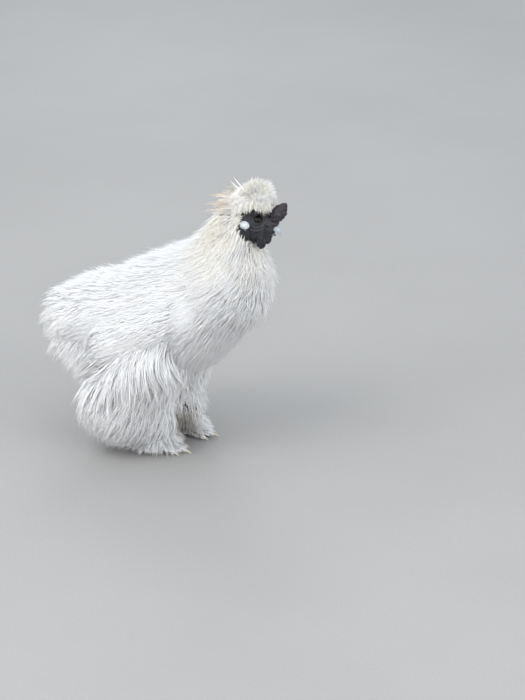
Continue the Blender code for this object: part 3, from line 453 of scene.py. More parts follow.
def pebbleGroup():
    # small rounded scales of skin: the height between the cells of a pattern, with finer wrinkles over it
    tree, given, result = newGroup(
        "pebbledSkin",
        (("Place", "Vector", None), ("Scale", "Float", 900.0), ("Wrinkle", "Float", 0.5)),
        (("Height", "Float"), ("Groove", "Float")),
    )
    bent = addNode(tree, "ShaderNodeTexNoise", {"Vector": given["Place"], "Scale": 260.0, "Detail": 3.0})
    shifted = addNode(
        tree, "ShaderNodeVectorMath", {0: bent.outputs["Color"], 1: (0.0022,) * 3, 2: given["Place"]},
        operation="MULTIPLY_ADD",
    ).outputs[0]
    cells = addNode(tree, "ShaderNodeTexVoronoi", {"Vector": shifted, "Scale": given["Scale"]}, feature="F1")
    dome = worked(tree, "SUBTRACT", 1.0, cells.outputs["Distance"])
    wave = noise(tree, shifted, 420.0, 5.0, 0.65)
    tree.links.new(worked(tree, "MULTIPLY_ADD", wave, given["Wrinkle"], dome), result.inputs["Height"])
    # the grooves between the cells, which the skin darkens as painted shade
    tree.links.new(ranged(tree, cells.outputs["Distance"], 0.35, 0.75), result.inputs["Groove"])
    return tree


def plumageMaterial(name, tones):
    # the bird's tones by place and strand, with painted shade by depth and a soft sheen
    material, tree, shader, where = newMaterial(name)
    look = placeGroup(
        tree, tones, {"Place": where, "Reach": attribute(tree, "reach"), "Strand": attribute(tree, "strand")}
    )
    tree.links.new(look["Colour"], shader.inputs["Base Color"])
    fine = noise(tree, where, 700.0, 2.0)
    tree.links.new(ranged(tree, fine, 0.2, 0.8, 0.50, 0.70), shader.inputs["Roughness"])
    shader.inputs["Sheen Weight"].default_value = 0.25
    shader.inputs["Sheen Roughness"].default_value = 0.4
    return material


fleshLook = {
    "face": (0.013, 0.013, 0.017),
    "worn": (0.040, 0.040, 0.048),  # on raised folds
    "comb": (0.028, 0.022, 0.030),
    "lobe": (0.76, 0.79, 0.80),
    "lobeShade": (0.47, 0.51, 0.56),
    "foot": (0.120, 0.128, 0.142),
    "footPale": (0.300, 0.290, 0.270),
    "groove": (0.30, 0.28, 0.32),  # painted shade: how much darker the colour is in the grooves between the pebbles
}


def skinMaterial(tones, pebbles):
    # down-white under the coat, mulberry face, comb and wattles, pale earlobes, slate feet, with painted
    # shade in the grooves between the pebbles
    material, tree, shader, where = newMaterial("birdSkin")
    grain = placeGroup(tree, pebbles, {"Place": where, "Scale": 1250.0, "Wrinkle": 0.6})
    blotch = noise(tree, where, 130.0, 4.0)
    colour = placeGroup(tree, tones, {"Place": where, "Reach": 1.0, "Strand": 0.3})["Colour"]
    # attribute of the skin, its two colours and where the second begins and is full in the blotches
    for name, first, second, low, high in (
        ("bareFace", "face", "worn", 0.38, 0.70),
        ("combFlesh", "comb", "worn", 0.48, 0.90),
        ("lobeFlesh", "lobe", "lobeShade", 0.42, 0.66),
        ("footFlesh", "foot", "footPale", 0.40, 0.66),
    ):
        flesh = mixed(tree, ranged(tree, blotch, low, high), fleshLook[first], fleshLook[second])
        colour = mixed(tree, attribute(tree, name), colour, flesh)
    # painted shade in the grooves between the pebbles
    dark = worked(tree, "MULTIPLY", grain["Groove"], 0.45)
    colour = mixed(tree, dark, colour, mixed(tree, 1.0, colour, fleshLook["groove"], "MULTIPLY"))
    tree.links.new(colour, shader.inputs["Base Color"])
    tree.links.new(ranged(tree, blotch, 0.3, 0.7, 0.44, 0.66), shader.inputs["Roughness"])
    bumped(tree, shader, grain["Height"], 0.55, 0.0004)
    return material


beakLook = {
    "dark": (0.060, 0.058, 0.070),
    "pale": (0.400, 0.445, 0.470),
    "line": (0.200, 0.240, 0.280),
    "paleFrom": (0.0060, 0.0110),
    "lineScale": (260.0, 900.0, 1500.0),
}


def beakMaterial():
    # dark at the base, pale blue grey to the tip, fine lines of growth along it
    material, tree, shader, where = newMaterial("beakHorn")
    split = addNode(tree, "ShaderNodeSeparateXYZ", {"Vector": where}).outputs
    forward = worked(tree, "MULTIPLY_ADD", split["Z"], -0.45, split["X"])
    uneven = worked(tree, "MULTIPLY_ADD", noise(tree, where, 420.0, 4.0), 0.004, forward)
    share = worked(tree, "MULTIPLY", ranged(tree, uneven, *beakLook["paleFrom"]), attribute(tree, "paleness"))
    lines = stretchedLines(tree, where, beakLook["lineScale"])
    streak = worked(tree, "MULTIPLY", ranged(tree, lines, 0.45, 0.75), 0.35)
    colour = mixed(tree, streak, mixed(tree, share, beakLook["dark"], beakLook["pale"]), beakLook["line"])
    tree.links.new(colour, shader.inputs["Base Color"])
    tree.links.new(ranged(tree, lines, 0.3, 0.7, 0.22, 0.38), shader.inputs["Roughness"])
    bumped(tree, shader, lines, 0.20, 0.0003)
    return material


clawLook = {
    "pale": (0.72, 0.66, 0.56),
    "dark": (0.52, 0.46, 0.38),
    "dirt": (0.22, 0.18, 0.14),
    "lineScale": (300.0, 1100.0, 1100.0),
}


def clawMaterial():
    # pale horn with lines of growth and some dirt
    material, tree, shader, where = newMaterial("clawHorn")
    lines = stretchedLines(tree, where, clawLook["lineScale"])
    colour = mixed(tree, ranged(tree, lines, 0.35, 0.70), clawLook["pale"], clawLook["dark"])
    dirt = worked(tree, "MULTIPLY", ranged(tree, noise(tree, where, 380.0, 4.0), 0.50, 0.68), 0.55)
    tree.links.new(mixed(tree, dirt, colour, clawLook["dirt"]), shader.inputs["Base Color"])
    tree.links.new(ranged(tree, lines, 0.3, 0.7, 0.28, 0.46), shader.inputs["Roughness"])
    bumped(tree, shader, lines, 0.25, 0.0003)
    return material


eyeLook = {
    "pupil": (0.002, 0.002, 0.002),
    "iris": (0.008, 0.006, 0.005),
    "streak": (0.022, 0.014, 0.010),
    "rim": (0.006, 0.005, 0.006),
    "irisFrom": (0.40, 0.46),  # radians from the eye's axis
    "rimFrom": (0.78, 0.92),
    "wetness": 1.34,
}


def eyeMaterial():
    # black pupil, dark brown streaked iris, wet front; the attribute is the angle from the eye's axis
    material, tree, shader, where = newMaterial("wetEye")
    angle = attribute(tree, "fromPupil")
    streaks = noise(tree, where, 1900.0, 4.0)
    iris = mixed(tree, ranged(tree, streaks, 0.35, 0.70), eyeLook["iris"], eyeLook["streak"])
    colour = mixed(tree, ranged(tree, angle, *eyeLook["irisFrom"]), eyeLook["pupil"], iris)
    colour = mixed(tree, ranged(tree, angle, *eyeLook["rimFrom"]), colour, eyeLook["rim"])
    tree.links.new(colour, shader.inputs["Base Color"])
    tree.links.new(ranged(tree, streaks, 0.2, 0.8, 0.02, 0.05), shader.inputs["Roughness"])
    shader.inputs["IOR"].default_value = eyeLook["wetness"]
    return material


floorPlan = {
    "reach": 9.0,
    "points": 9,  # along each side of the grid
    "colour": (0.330, 0.324, 0.315),
    "worn": (0.355, 0.349, 0.340),
    "speck": (0.280, 0.274, 0.266),
}


def floorMaterial():
    # pale worn ground with fine grit
    material, tree, shader, where = newMaterial("paleFloor")
    broad = noise(tree, where, 1.6, 4.0)
    grit = noise(tree, where, 340.0, 3.0)
    colour = mixed(tree, ranged(tree, broad, 0.3, 0.7), floorPlan["colour"], floorPlan["worn"])
    specks = worked(tree, "MULTIPLY", ranged(tree, grit, 0.45, 0.75), 0.12)
    tree.links.new(mixed(tree, specks, colour, floorPlan["speck"]), shader.inputs["Base Color"])
    tree.links.new(ranged(tree, grit, 0.3, 0.7, 0.62, 0.78), shader.inputs["Roughness"])
    bumped(tree, shader, grit, 0.08, 0.0005)
    return material


def addFloor():
    # z = 0 on a square grid
    count = floorPlan["points"]
    line = np.linspace(-floorPlan["reach"], floorPlan["reach"], count)
    gridX, gridY = np.meshgrid(line, line)
    points = rows(gridX.ravel(), gridY.ravel(), 0.0)
    first = (np.arange(count - 1)[:, None] * count + np.arange(count - 1)).ravel()
    corners = np.stack((first, first + 1, first + count + 1, first + count), axis=-1)
    floor = makeMesh("paleFloor", points, corners.ravel(), np.arange(len(first)) * 4, floorMaterial())


addCamera()
addLights()
addFloor()
print("camera, lights and floor")


# the body's forms, as in the solids
# each form is a tapered capsule with a skin radius and a depth of coat at its two ends
# lie is where feathers point

stepAhead = {"right": 0.0, "left": 0.018}
anklePlace = {"right": np.array((-0.004, -0.021, 0.014)), "left": np.array((0.009, 0.029, 0.014))}
blendSoftness = 0.0045
coreLevel = 0.5

forms = {
    "back": {"start": (-0.040, 0.0, 0.158), "end": (0.034, 0.0, 0.186), "skin": (0.042, 0.047),
             "coat": (0.034, 0.034), "wide": 1.0, "lie": (-0.90, 0.0, -0.42)},
    "breast": {"start": (0.034, 0.0, 0.186), "end": (0.084, 0.0, 0.224), "skin": (0.047, 0.036),
               "coat": (0.034, 0.034), "wide": 1.0, "lie": (-0.80, 0.0, -0.60)},
    "neck": {"start": (0.083, 0.0, 0.243), "end": (0.1055, 0.0, 0.297), "skin": (0.029, 0.020),
             "coat": (0.027, 0.018), "wide": 1.0, "lie": (-0.38, 0.0, -0.92)},
    "tail": {"start": (-0.084, 0.0, 0.160), "end": (-0.114, 0.0, 0.151), "skin": (0.022, 0.014),
             "coat": (0.038, 0.038), "wide": 1.05, "lie": (-0.80, 0.0, -0.60)},
}
for label, side in sides.items():
    step = stepAhead[label]
    hip = (-0.002 + 0.25 * step, side * 0.043, 0.124)
    hock = (-0.036 + step, side * 0.044, 0.062)
    fluffEnd = (*anklePlace[label][:2], 0.035)
    forms["thigh" + label] = {"start": hip, "end": hock, "skin": (0.028, 0.013), "coat": (0.028, 0.040),
                              "wide": 1.0, "lie": (-0.42, 0.10 * side, -0.90)}
    forms["shank" + label] = {"start": hock, "end": fluffEnd, "skin": (0.013, 0.0062), "coat": (0.040, 0.030),
                              "wide": 1.0, "lie": (-0.50, 0.28 * side, -0.80)}
    forms["wing" + label] = {"start": (0.056, side * 0.060, 0.200), "end": (-0.040, side * 0.072, 0.146),
                             "skin": (0.020, 0.017), "coat": (0.014, 0.014), "wide": 0.60,
                             "lie": (-0.88, 0.0, -0.48)}
for form in forms.values():
    for key in ("start", "end", "lie"):
        form[key] = np.array(form[key], float)


def aroundForm(name, points, level):
    # distance from a form's surface at a level of its coat (0 skin, 1 tips) and the way out from it
    form = forms[name]
    axis = form["end"] - form["start"]
    share = np.clip((points - form["start"]) @ axis / (axis @ axis), 0.0, 1.0)
    squeeze = np.array((1.0, form["wide"], 1.0))
    squeezed = (points - form["start"] - share[:, None] * axis) / squeeze
    reach = np.maximum(np.linalg.norm(squeezed, axis=1), 1e-6)
    slope = squeezed / squeeze / reach[:, None]
    steep = np.linalg.norm(slope, axis=1)
    surface = between(form["skin"], share) + level * between(form["coat"], share)
    return (reach - surface) / steep, slope / steep[:, None]


def aroundBody(names, points, level):
    # the forms' distances blended by a soft minimum, with the way out and the lie blended by the same weights
    found = [aroundForm(name, points, level) for name in names]
    distances = np.stack([distance for distance, _ in found])
    nearest = distances.min(axis=0)
    pull = np.exp(-(distances - nearest) / blendSoftness)
    outward = unit(np.einsum("fn,fnc->nc", pull, np.stack([way for _, way in found])))
    lie = unit(np.einsum("fn,fc->nc", pull, np.stack([forms[name]["lie"] for name in names])))
    return nearest - blendSoftness * np.log(pull.sum(axis=0)), outward, lie


def rootsOver(name, level, count, seed):
    # roots spread evenly over a capsule: equal areas from end to end, each turned by the golden ratio
    form = forms[name]
    chance = np.random.default_rng(seed)
    radii = [skin + level * coat for skin, coat in zip(form["skin"], form["coat"])]
    axis = form["end"] - form["start"]
    length = float(np.linalg.norm(axis))
    along = axis / length
    across = unit(np.array((0.0, 1.0, 0.0)) - along[1] * along)
    upward = np.cross(along, across)
    quarter = [radius * math.pi / 2.0 for radius in radii]
    total = quarter[0] + length + quarter[1]
    way = np.linspace(0.0, total, 600)

    def ringAt(travelled):
        # share of the axis, radius round it and shift along it, on the way over cap, side and cap
        back = np.clip(1.0 - travelled / quarter[0], 0.0, 1.0) * math.pi / 2.0
        ahead = np.clip((travelled - quarter[0] - length) / quarter[1], 0.0, 1.0) * math.pi / 2.0
        share = np.clip((travelled - quarter[0]) / length, 0.0, 1.0)
        radius = between(radii, share)
        return share, np.cos(back) * np.cos(ahead) * radius, (np.sin(ahead) - np.sin(back)) * radius

    covered = np.cumsum(ringAt(way)[1])
    travelled = np.interp((np.arange(count) + 0.5) / count * covered[-1], covered, way)
    travelled = np.clip(travelled + chance.uniform(-0.0012, 0.0012, count), 0.0, total)
    turn = np.mod(np.arange(count) * golden + chance.uniform(-0.004, 0.004, count), 1.0)
    share, waist, shift = ringAt(travelled)
    angle = fullTurn * turn
    spoke = np.cos(angle)[:, None] * form["wide"] * across + np.sin(angle)[:, None] * upward
    roots = form["start"] + share[:, None] * axis + waist[:, None] * spoke + shift[:, None] * along
    return roots, rows(travelled / total, turn)


combing = {
    "start": 0.22,  # level of the coat at the roots
    "power": 0.7,  # how soon a tuft rises: below 1 it rises first and lies flat later
    "overlap": 0.002,  # how far tufts of one form reach into the next
    "points": 10,
    "midGap": 0.004,  # how near to the bird's middle the coats of the legs come
    "midSoftness": 0.002,
}


def combed(names, roots, lengths, tips, turns, start=combing["start"], power=combing["power"], legSide=0.0):
    # middle lines of tufts: a step along the lie, turned a little, then out or in to the coat's level there
    count = len(roots)
    point = roots.copy()
    path = np.zeros((count, combing["points"], 3))
    outwards = np.zeros_like(path)
    last = combing["points"] - 1
    for index in range(combing["points"]):
        level = start + (tips - start) * (index / last) ** power
        if index:
            _, outward, lie = aroundBody(names, point, coreLevel)
            flat = lie - np.sum(lie * outward, axis=1, keepdims=True) * outward
            weak = np.linalg.norm(flat, axis=1) < 0.05
            flat[weak] = np.cross(outward[weak], (0.0, 1.0, 0.0))
            flat = unit(flat)
            heading = np.cos(turns)[:, None] * flat + np.sin(turns)[:, None] * np.cross(outward, flat)
            point = point + heading * (lengths / last)[:, None]
        for _ in range(2):
            distance, outward, _ = aroundBody(names, point, level)
            point = point - distance[:, None] * outward
        if legSide:
            gap, soft = combing["midGap"], combing["midSoftness"]
            point[:, 1] = legSide * (gap + soft * np.log1p(np.exp((legSide * point[:, 1] - gap) / soft)))
        path[:, index] = point
        outwards[:, index] = outward
    return path, outwards


# strands of the coat

# where along a strand its points are, and how thick it is at each ring before the tip
shortStrand = {"stations": np.array((0.0, 0.5, 1.0)), "widths": np.array((0.85, 1.0))}
longStrand = {"stations": np.array((0.0, 0.38, 0.74, 1.0)), "widths": np.array((0.75, 1.0, 0.72))}
uvPatch = 0.003
floorGap = 0.0012  # the lowest that the middle of a strand comes
tuftGap = 0.0015  # the lowest that a free tuft comes
freePoints = 9  # along a free tuft

# strands in a tuft, width and depth of the tuft, thickness of a strand, how far strands start after the
# tuft's root (stagger) and end before its tip (uneven), how round they are shaded, the tuft's width at root
# and tip, height and number of waves, and how far tips stray sideways and outwards
softStyle = {
    "shape": shortStrand, "strands": 18, "width": 0.0125, "depth": 0.0030, "thickness": 0.00034,
    "stagger": 0.42, "uneven": 0.40, "rounded": 0.22, "rootSpread": 0.75, "tipSpread": 0.72,
    "wave": 0.0009, "turns": 0.9, "stray": 0.0034, "lift": 0.0016,
}
legStyle = {
    **softStyle, "strands": 13, "width": 0.0165, "depth": 0.0044, "tipSpread": 0.95, "stray": 0.0044,
    "lift": 0.0034, "wave": 0.0013, "thickness": 0.00036,
}
downStyle = {
    **softStyle, "strands": 12, "width": 0.0085, "depth": 0.0030, "tipSpread": 1.0, "rootSpread": 0.9,
    "thickness": 0.00060, "wave": 0.0010, "stray": 0.0040, "lift": 0.0030,
}
crownDownStyle = {**downStyle, "strands": 10, "width": 0.0050}
edgeStyle = {**softStyle, "strands": 10, "width": 0.0050, "stray": 0.0018, "lift": 0.0012, "stagger": 0.25}
bibStyle = {**softStyle, "width": 0.0040}
wispStyle = {
    **softStyle, "shape": longStrand, "strands": 12, "width": 0.0056, "tipSpread": 0.22, "stray": 0.0016,
    "lift": 0.0014, "thickness": 0.00038,
}
crestStyle = {
    **softStyle, "shape": longStrand, "strands": 16, "width": 0.0048, "tipSpread": 0.55, "rootSpread": 0.8,
    "wave": 0.0008, "stray": 0.0026, "lift": 0.0022, "thickness": 0.00032,
}
looseStyle = {**wispStyle, "strands": 5, "width": 0.0024}
longStyle = {
    **wispStyle, "strands": 4, "width": 0.0007, "depth": 0.0004, "stagger": 0.12, "uneven": 0.12,
    "stray": 0.0003, "lift": 0.0003, "wave": 0.0003,
}
flightStyle = {**wispStyle, "strands": 13, "width": 0.0040, "stagger": 0.45, "thickness": 0.00040}
skirtStyle = {**wispStyle, "width": 0.0065}
pocketStyle = {**wispStyle, "width": 0.0075}
streamStyle = {**wispStyle, "width": 0.0070}
footStyle = {**wispStyle, "tipSpread": 0.35}
toeStyle = {**wispStyle, "width": 0.0044, "tipSpread": 0.5}

# for each kind of tuft, the seed of its tufts and of its strands
seeds = {
    "back": (11, 21), "breast": (12, 22), "neck": (13, 23), "crest": (14, 24), "tail": (15, 25),
    "bib": (17, 27), "skirt": (18, 28), "crestWisp": (19, 29), "crestLong": (19, 43), "crown": (20, 30),
    "thigh": (31, 33), "shank": (32, 34), "wing": (35, 36), "foot": (37, 38), "flight": (39, 40),
    "toe": (41, 42), "edgeright": (45, 46), "edgeleft": (47, 48), "pocket": (51, 52), "stream": (53, 54),
    "backDown": (61, 62), "breastDown": (63, 64), "neckDown": (65, 66), "thighDown": (67, 68),
    "shankDown": (69, 70),
}


def drawn(kind, plan):
    # for each tuft a number from -1 to 1 times each stray of the plan, a row of them for each stray; a stray
    # of 0 only keeps its place among the draws
    chance = np.random.default_rng(seeds[kind][0])
    strays = np.array(plan["strays"])
    return (chance.uniform(-1.0, 1.0, (plan["tufts"], len(strays))) * strays).T


def strandsOn(kind, tufts, style, low=0.0, high=1.0):
    # each strand follows its tuft: middle(start + length s) + across a width(s) + outward b depth(s) + a
    # slow wave, with the tufts' places moved into the strip from low to high of the piece's map
    paths, outwards, places = tufts
    places = rows(between((low, high), places[:, 0]), places[:, 1])
    chance = np.random.default_rng(seeds[kind][1])
    stations, widths = style["shape"]["stations"], style["shape"]["widths"]
    tuft = np.repeat(np.arange(len(paths)), style["strands"])
    total = len(tuft)
    draws = chance.uniform(-1.0, 1.0, (total, 8)).T[..., None]
    late, early, aside, deeper, tint, strayed, lifted, thicker = draws
    begin = style["stagger"] * np.abs(late)
    length = (1.0 - begin) * (1.0 - style["uneven"] * np.abs(early))
    along = begin + length * stations
    last = paths.shape[1] - 1
    spot = np.clip(along, 0.0, 1.0) * last
    before = np.minimum(spot.astype(int), last - 1)
    part = (spot - before)[..., None]
    owner = tuft[:, None]
    middle = paths[owner, before] * (1.0 - part) + paths[owner, before + 1] * part
    facing = unit(outwards[owner, before] * (1.0 - part) + outwards[owner, before + 1] * part)
    heading = unit(paths[owner, before + 1] - paths[owner, before])
    across = unit(np.cross(heading, facing + 0.05 * heading[..., (1, 2, 0)]))
    outward = np.cross(across, heading)
    parted = between((style["rootSpread"], 1.0), ease(0.0, 0.45, along))
    gathered = between((1.0, style["tipSpread"]), ease(0.35, 1.0, along))
    wave = style["wave"] * stations
    phase = math.pi * tint
    turns = fullTurn * style["turns"] * stations
    sideShift = aside * style["width"] * parted * gathered
    sideShift = sideShift + wave * np.sin(turns + phase) + style["stray"] * strayed * stations**2
    riseShift = style["depth"] * deeper * (0.4 + 0.6 * along)
    riseShift = riseShift + wave * np.cos(turns + 1.7 * phase) + style["lift"] * lifted * stations**2
    line = middle + across * sideShift[..., None] + outward * riseShift[..., None]
    line[..., 2] = np.maximum(line[..., 2], floorGap)
    # rings of three points, a little flatter than round, and a tip
    thick = style["thickness"] * (1.0 + 0.25 * thicker)
    roll = np.radians((90.0, 210.0, 330.0))
    size = thick * widths
    rings = line[:, :-1, None] + (
        across[:, :-1, None] * (size[..., None] * np.cos(roll))[..., None]
        + outward[:, :-1, None] * (0.75 * size[..., None] * np.sin(roll))[..., None]
    )
    points = np.concatenate((rings.reshape(total, -1, 3), line[:, -1:]), axis=1)
    aroundStrand = unit(rings - line[:, :-1, None]).reshape(total, -1, 3)
    aroundStrand = np.concatenate((aroundStrand, heading[:, -1:]), axis=1)
    repeats = [3] * len(widths) + [1]
    facing = np.repeat(facing, repeats, axis=1)
    normals = unit(between((facing, aroundStrand), style["rounded"]))
    reach = np.repeat(along, repeats, axis=1)
    shade = np.repeat(0.5 + 0.5 * tint, points.shape[1], axis=1)
    root = places[tuft] + np.concatenate((0.004 * late, 0.010 * aside), axis=1)
    return points, reach, shade, root, normals


def coatPiece(name, material, slotName, bunches):
    # one mesh of all strands; a strand is rings of 3 points and a tip, its UV patch at its root's place
    points, corners, starts, uvs = [], [], [], []
    pointCount = cornerCount = triangles = 0
    for shape, _, _, root, _ in bunches:
        total, each = shape.shape[:2]
        rings = each // 3
        quads = [(3 * r + k, 3 * r + 3 + k, 3 * r + 3 + (k + 1) % 3, 3 * r + (k + 1) % 3)
                 for r in range(rings - 1) for k in range(3)]
        tris = [(each - 4 + k, each - 1, each - 4 + (k + 1) % 3) for k in range(3)] + [(0, 1, 2)]
        pattern = np.array([corner for face in quads + tris for corner in face])
        sizes = np.array([4] * len(quads) + [3] * len(tris))
        faceStarts = np.concatenate(([0], np.cumsum(sizes)[:-1]))
        points.append(shape.reshape(-1, 3))
        corners.append((pointCount + np.arange(total)[:, None] * each + pattern).ravel())
        starts.append((cornerCount + np.arange(total)[:, None] * len(pattern) + faceStarts).ravel())
        alongUv = np.minimum(pattern // 3, rings) / rings - 0.5
        aroundUv = np.where(pattern == each - 1, 1.0, pattern % 3) / 3.0 - 0.5
        middle = np.clip(root, uvPatch, 1.0 - uvPatch)[:, None]
        uvs.append((middle + uvPatch * rows(alongUv, aroundUv)).reshape(-1, 2))
        pointCount += total * each
        cornerCount += total * len(pattern)
        triangles += total * (2 * len(quads) + len(tris))
    piece = makeMesh(name, np.concatenate(points), np.concatenate(corners), np.concatenate(starts), material)
    setValues(piece, "reach", np.concatenate([bunch[1].ravel() for bunch in bunches]))
    setValues(piece, "strand", np.concatenate([bunch[2].ravel() for bunch in bunches]))
    soft = piece.data.attributes.new("custom_normal", "FLOAT_VECTOR", "POINT")
    normals = np.concatenate([bunch[4].reshape(-1, 3) for bunch in bunches])
    soft.data.foreach_set("vector", np.ascontiguousarray(normals, dtype=np.float32).ravel())
    layer = piece.data.uv_layers.new(name="OFBake")
    layer.data.foreach_set("uv", np.ascontiguousarray(np.concatenate(uvs), dtype=np.float32).ravel())
    place(piece, slotName)
    print(name, triangles, "triangles")


# tufts on each form, their length, the range of levels of their tips, and how far their headings spread
coatPlan = {
    "back": {**combing, "tufts": 1110, "length": 0.042, "tips": (0.74, 1.02), "turn": 0.16},
    "breast": {**combing, "tufts": 1060, "length": 0.040, "tips": (0.74, 1.02), "turn": 0.14},
    "neck": {**combing, "tufts": 1300, "length": 0.038, "tips": (0.68, 1.02), "turn": 0.10},
    "tail": {**combing, "tufts": 620, "length": 0.046, "tips": (0.66, 1.04), "turn": 0.22},
    "thigh": {**combing, "tufts": 560, "length": 0.036, "tips": (0.88, 1.02), "turn": 0.13, "power": 0.5,
              "overlap": 0.007},
    "shank": {**combing, "tufts": 500, "length": 0.034, "tips": (0.86, 1.03), "turn": 0.18, "power": 0.45,
              "overlap": 0.007, "start": 0.30},
    "wing": {**combing, "tufts": 440, "length": 0.044, "tips": (0.62, 1.00), "turn": 0.14},
}
downPlan = {"share": 0.45, "length": 0.60, "tips": (0.34, 0.62)}  # against the longer tufts of the same form


def tuftsOn(name, group, kept=None, legSide=0.0, deep=False):
    # roots of one form that no other form covers, combed over the whole group; the deep ones are short down
    kind = name.replace("right", "").replace("left", "")
    plan = coatPlan[kind]
    ways = combing if deep else plan
    seed = seeds[kind + "Down" if deep else kind][0]
    count = int(downPlan["share"] * plan["tufts"]) if deep else plan["tufts"]
    roots, places = rootsOver(name, ways["start"], count, seed)
    own = aroundForm(name, roots, ways["start"])[0]
    clear = kept(roots) if kept else np.ones(len(roots), bool)
    for other in group:
        if other != name:
            clear &= aroundForm(other, roots, ways["start"])[0] > own - ways["overlap"]
    roots, places = roots[clear], places[clear]
    higher, longer, aside = np.random.default_rng(seed + 500).uniform(0.0, 1.0, (len(roots), 3)).T
    tips = between(downPlan["tips"] if deep else plan["tips"], higher**0.7)
    lengths = (downPlan["length"] if deep else 1.0) * plan["length"] * (0.75 + 0.5 * longer)
    turns = plan["turn"] * (2.0 * aside - 1.0)
    path, outward = combed(group, roots, lengths, tips, turns, ways["start"], ways["power"], legSide)
    return path, outward, places


def downOn(name, group, kept=None, legSide=0.0):
    # short fine down between the roots, so that the coat is closed to the skin
    kind = name.replace("right", "").replace("left", "") + "Down"
    return strandsOn(kind, tuftsOn(name, group, kept, legSide, deep=True), downStyle)


skull = np.array((0.1275, 0.0, 0.3115))
faceCorner = skull + (-0.0015, 0.0, -0.0260)
faceFacing, faceRise = np.array((0.871, 0.0, 0.492)), np.array((-0.492, 0.0, 0.871))


def behindFace(points):
    # behind or below the edge of the bare face
    offset = points - faceCorner
    return (offset @ faceFacing < -0.0015) | (offset @ faceRise < -0.003)


def midWing(points):
    # away from the wing's front end, which the breast covers, and its rear end, where tufts would meet
    return (points[:, 0] < 0.050) & (points[:, 0] > -0.048)


crestPlan = {
    "tufts": 640,
    "centre": skull + (-0.0055, 0.0, 0.0165),
    "halfWidth": 0.0325,
    # how far the tips reach, seen from the side: degrees from ahead through up, then metres
    "sideTurns": (-180.0, -150.0, -120.0, -60.0, -10.0, 10.0, 26.0, 45.0, 64.0, 88.0, 110.0, 135.0, 160.0,
                  180.0),
    "sideReach": (0.033, 0.034, 0.031, 0.026, 0.0270, 0.0315, 0.0365, 0.0385, 0.0400, 0.0345, 0.0305, 0.0295,
                  0.0310, 0.0330),
    "crown": skull + (-0.0085, 0.0, 0.0145),  # feathers leave a ball round this point
    "crownRadius": 0.0178,
    "top": np.array((0.10, 0.0, 0.995)),
    "rootShare": 0.60,  # how far a root moves from the top of the crown towards its tip's direction
    "rootSpread": 0.06,
    "edgeTurns": (0.0, 12.0, 22.0, 42.0, 65.0, 95.0, 130.0, 180.0),  # degrees round from the front
    "edgeHeights": (0.45, 0.15, -0.30, -0.12, 0.08, -0.12, -0.52, -0.68),  # lowest tips there
    "inner": 0.80,  # the nearest tips, against the reach
    "ragged": 0.16,  # how much farther tips of the top go
    "raggedHeights": (0.45, 0.85),
}


def crestReach(ways):
    # an ellipse between the reach seen from the side and the half width
    flat = np.linalg.norm(ways[..., (0, 2)], axis=-1)
    turn = np.degrees(np.arctan2(ways[..., 2], ways[..., 0]))
    side = np.interp(turn, crestPlan["sideTurns"], crestPlan["sideReach"])
    return 1.0 / np.sqrt((flat / side) ** 2 + (ways[..., 1] / crestPlan["halfWidth"]) ** 2)


def curved(first, bend, last):
    # curves of second degree: (1-s)^2 first + 2s(1-s) bend + s^2 last
    share = np.linspace(0.0, 1.0, freePoints)[:, None]
    first, bend, last = (point[:, None] for point in (first, bend, last))
    return (1.0 - share) ** 2 * first + 2.0 * share * (1.0 - share) * bend + share**2 * last


def crestTufts():
    # tips on an even spiral over the puff; each feather rises from the crown, bends over and falls to its tip
    plan = crestPlan
    count = plan["tufts"]
    chance = np.random.default_rng(seeds["crest"][0])
    index = np.arange(count)
    turn = np.mod(fullTurn * golden * index, fullTurn)
    fromFront = np.degrees(np.minimum(turn, fullTurn - turn))
    lowest = np.interp(fromFront, plan["edgeTurns"], plan["edgeHeights"])
    height = 1.0 - (1.0 - lowest) * ((index + 0.5) / count) ** 1.2
    flat = np.sqrt(1.0 - height * height)
    way = rows(flat * np.cos(turn), flat * np.sin(turn), height)
    spiky = ease(*plan["raggedHeights"], height)
    spread = 1.0 - plan["inner"] + plan["ragged"] * spiky
    outer = plan["inner"] + spread * chance.uniform(0.0, 1.0, count) ** (0.6 + 0.6 * spiky)
    tip = plan["centre"] + (crestReach(way) * outer)[:, None] * way
    top = plan["top"]
    stray = plan["rootSpread"] * chance.uniform(-1.0, 1.0, (count, 3))
    rootWay = top + plan["rootShare"] * (way - top) + stray
    root = plan["crown"] + plan["crownRadius"] * unit(rootWay)
    over = unit(way + 0.9 * (1.0 - height)[:, None] * top)
    bend = between((root, plan["centre"] + (0.98 * crestReach(over))[:, None] * over), 0.70)
    path = curved(root, bend, tip)
    return path, unit(path - plan["crown"] + (0.0, 0.0, 0.004)), rows(0.5 + 0.5 * height, evenly(count))


crownPlan = {"tufts": 220, "length": 0.011, "lowest": 1.35, "rise": 0.2, "lean": 0.5}


def crownDown():
    # short down standing out from the crown under the crest
    count = crownPlan["tufts"]
    chance = np.random.default_rng(seeds["crown"][0])
    index = np.arange(count) + 0.5
    height = 1.0 - crownPlan["lowest"] * index / count
    turn = fullTurn * golden * index
    flat = np.sqrt(1.0 - height * height)
    way = rows(flat * np.cos(turn), flat * np.sin(turn), height)
    offFace = way[:, 2] > np.interp(way[:, 0], (-0.6, -0.2, 0.3), (-0.4, 0.10, 0.45))
    way, turn = way[offFace], turn[offFace]
    root = crestPlan["crown"] + 0.95 * crestPlan["crownRadius"] * way
    leaning = way + crownPlan["lean"] * chance.uniform(-1.0, 1.0, way.shape) + (0.0, 0.0, crownPlan["rise"])
    tip = root + crownPlan["length"] * unit(leaning)
    path = curved(root, 0.5 * (root + tip) + 0.002 * way, tip)
    return path, unit(path - crestPlan["crown"]), rows(0.5 + 0.5 * way[:, 2], np.mod(turn, 1.0))


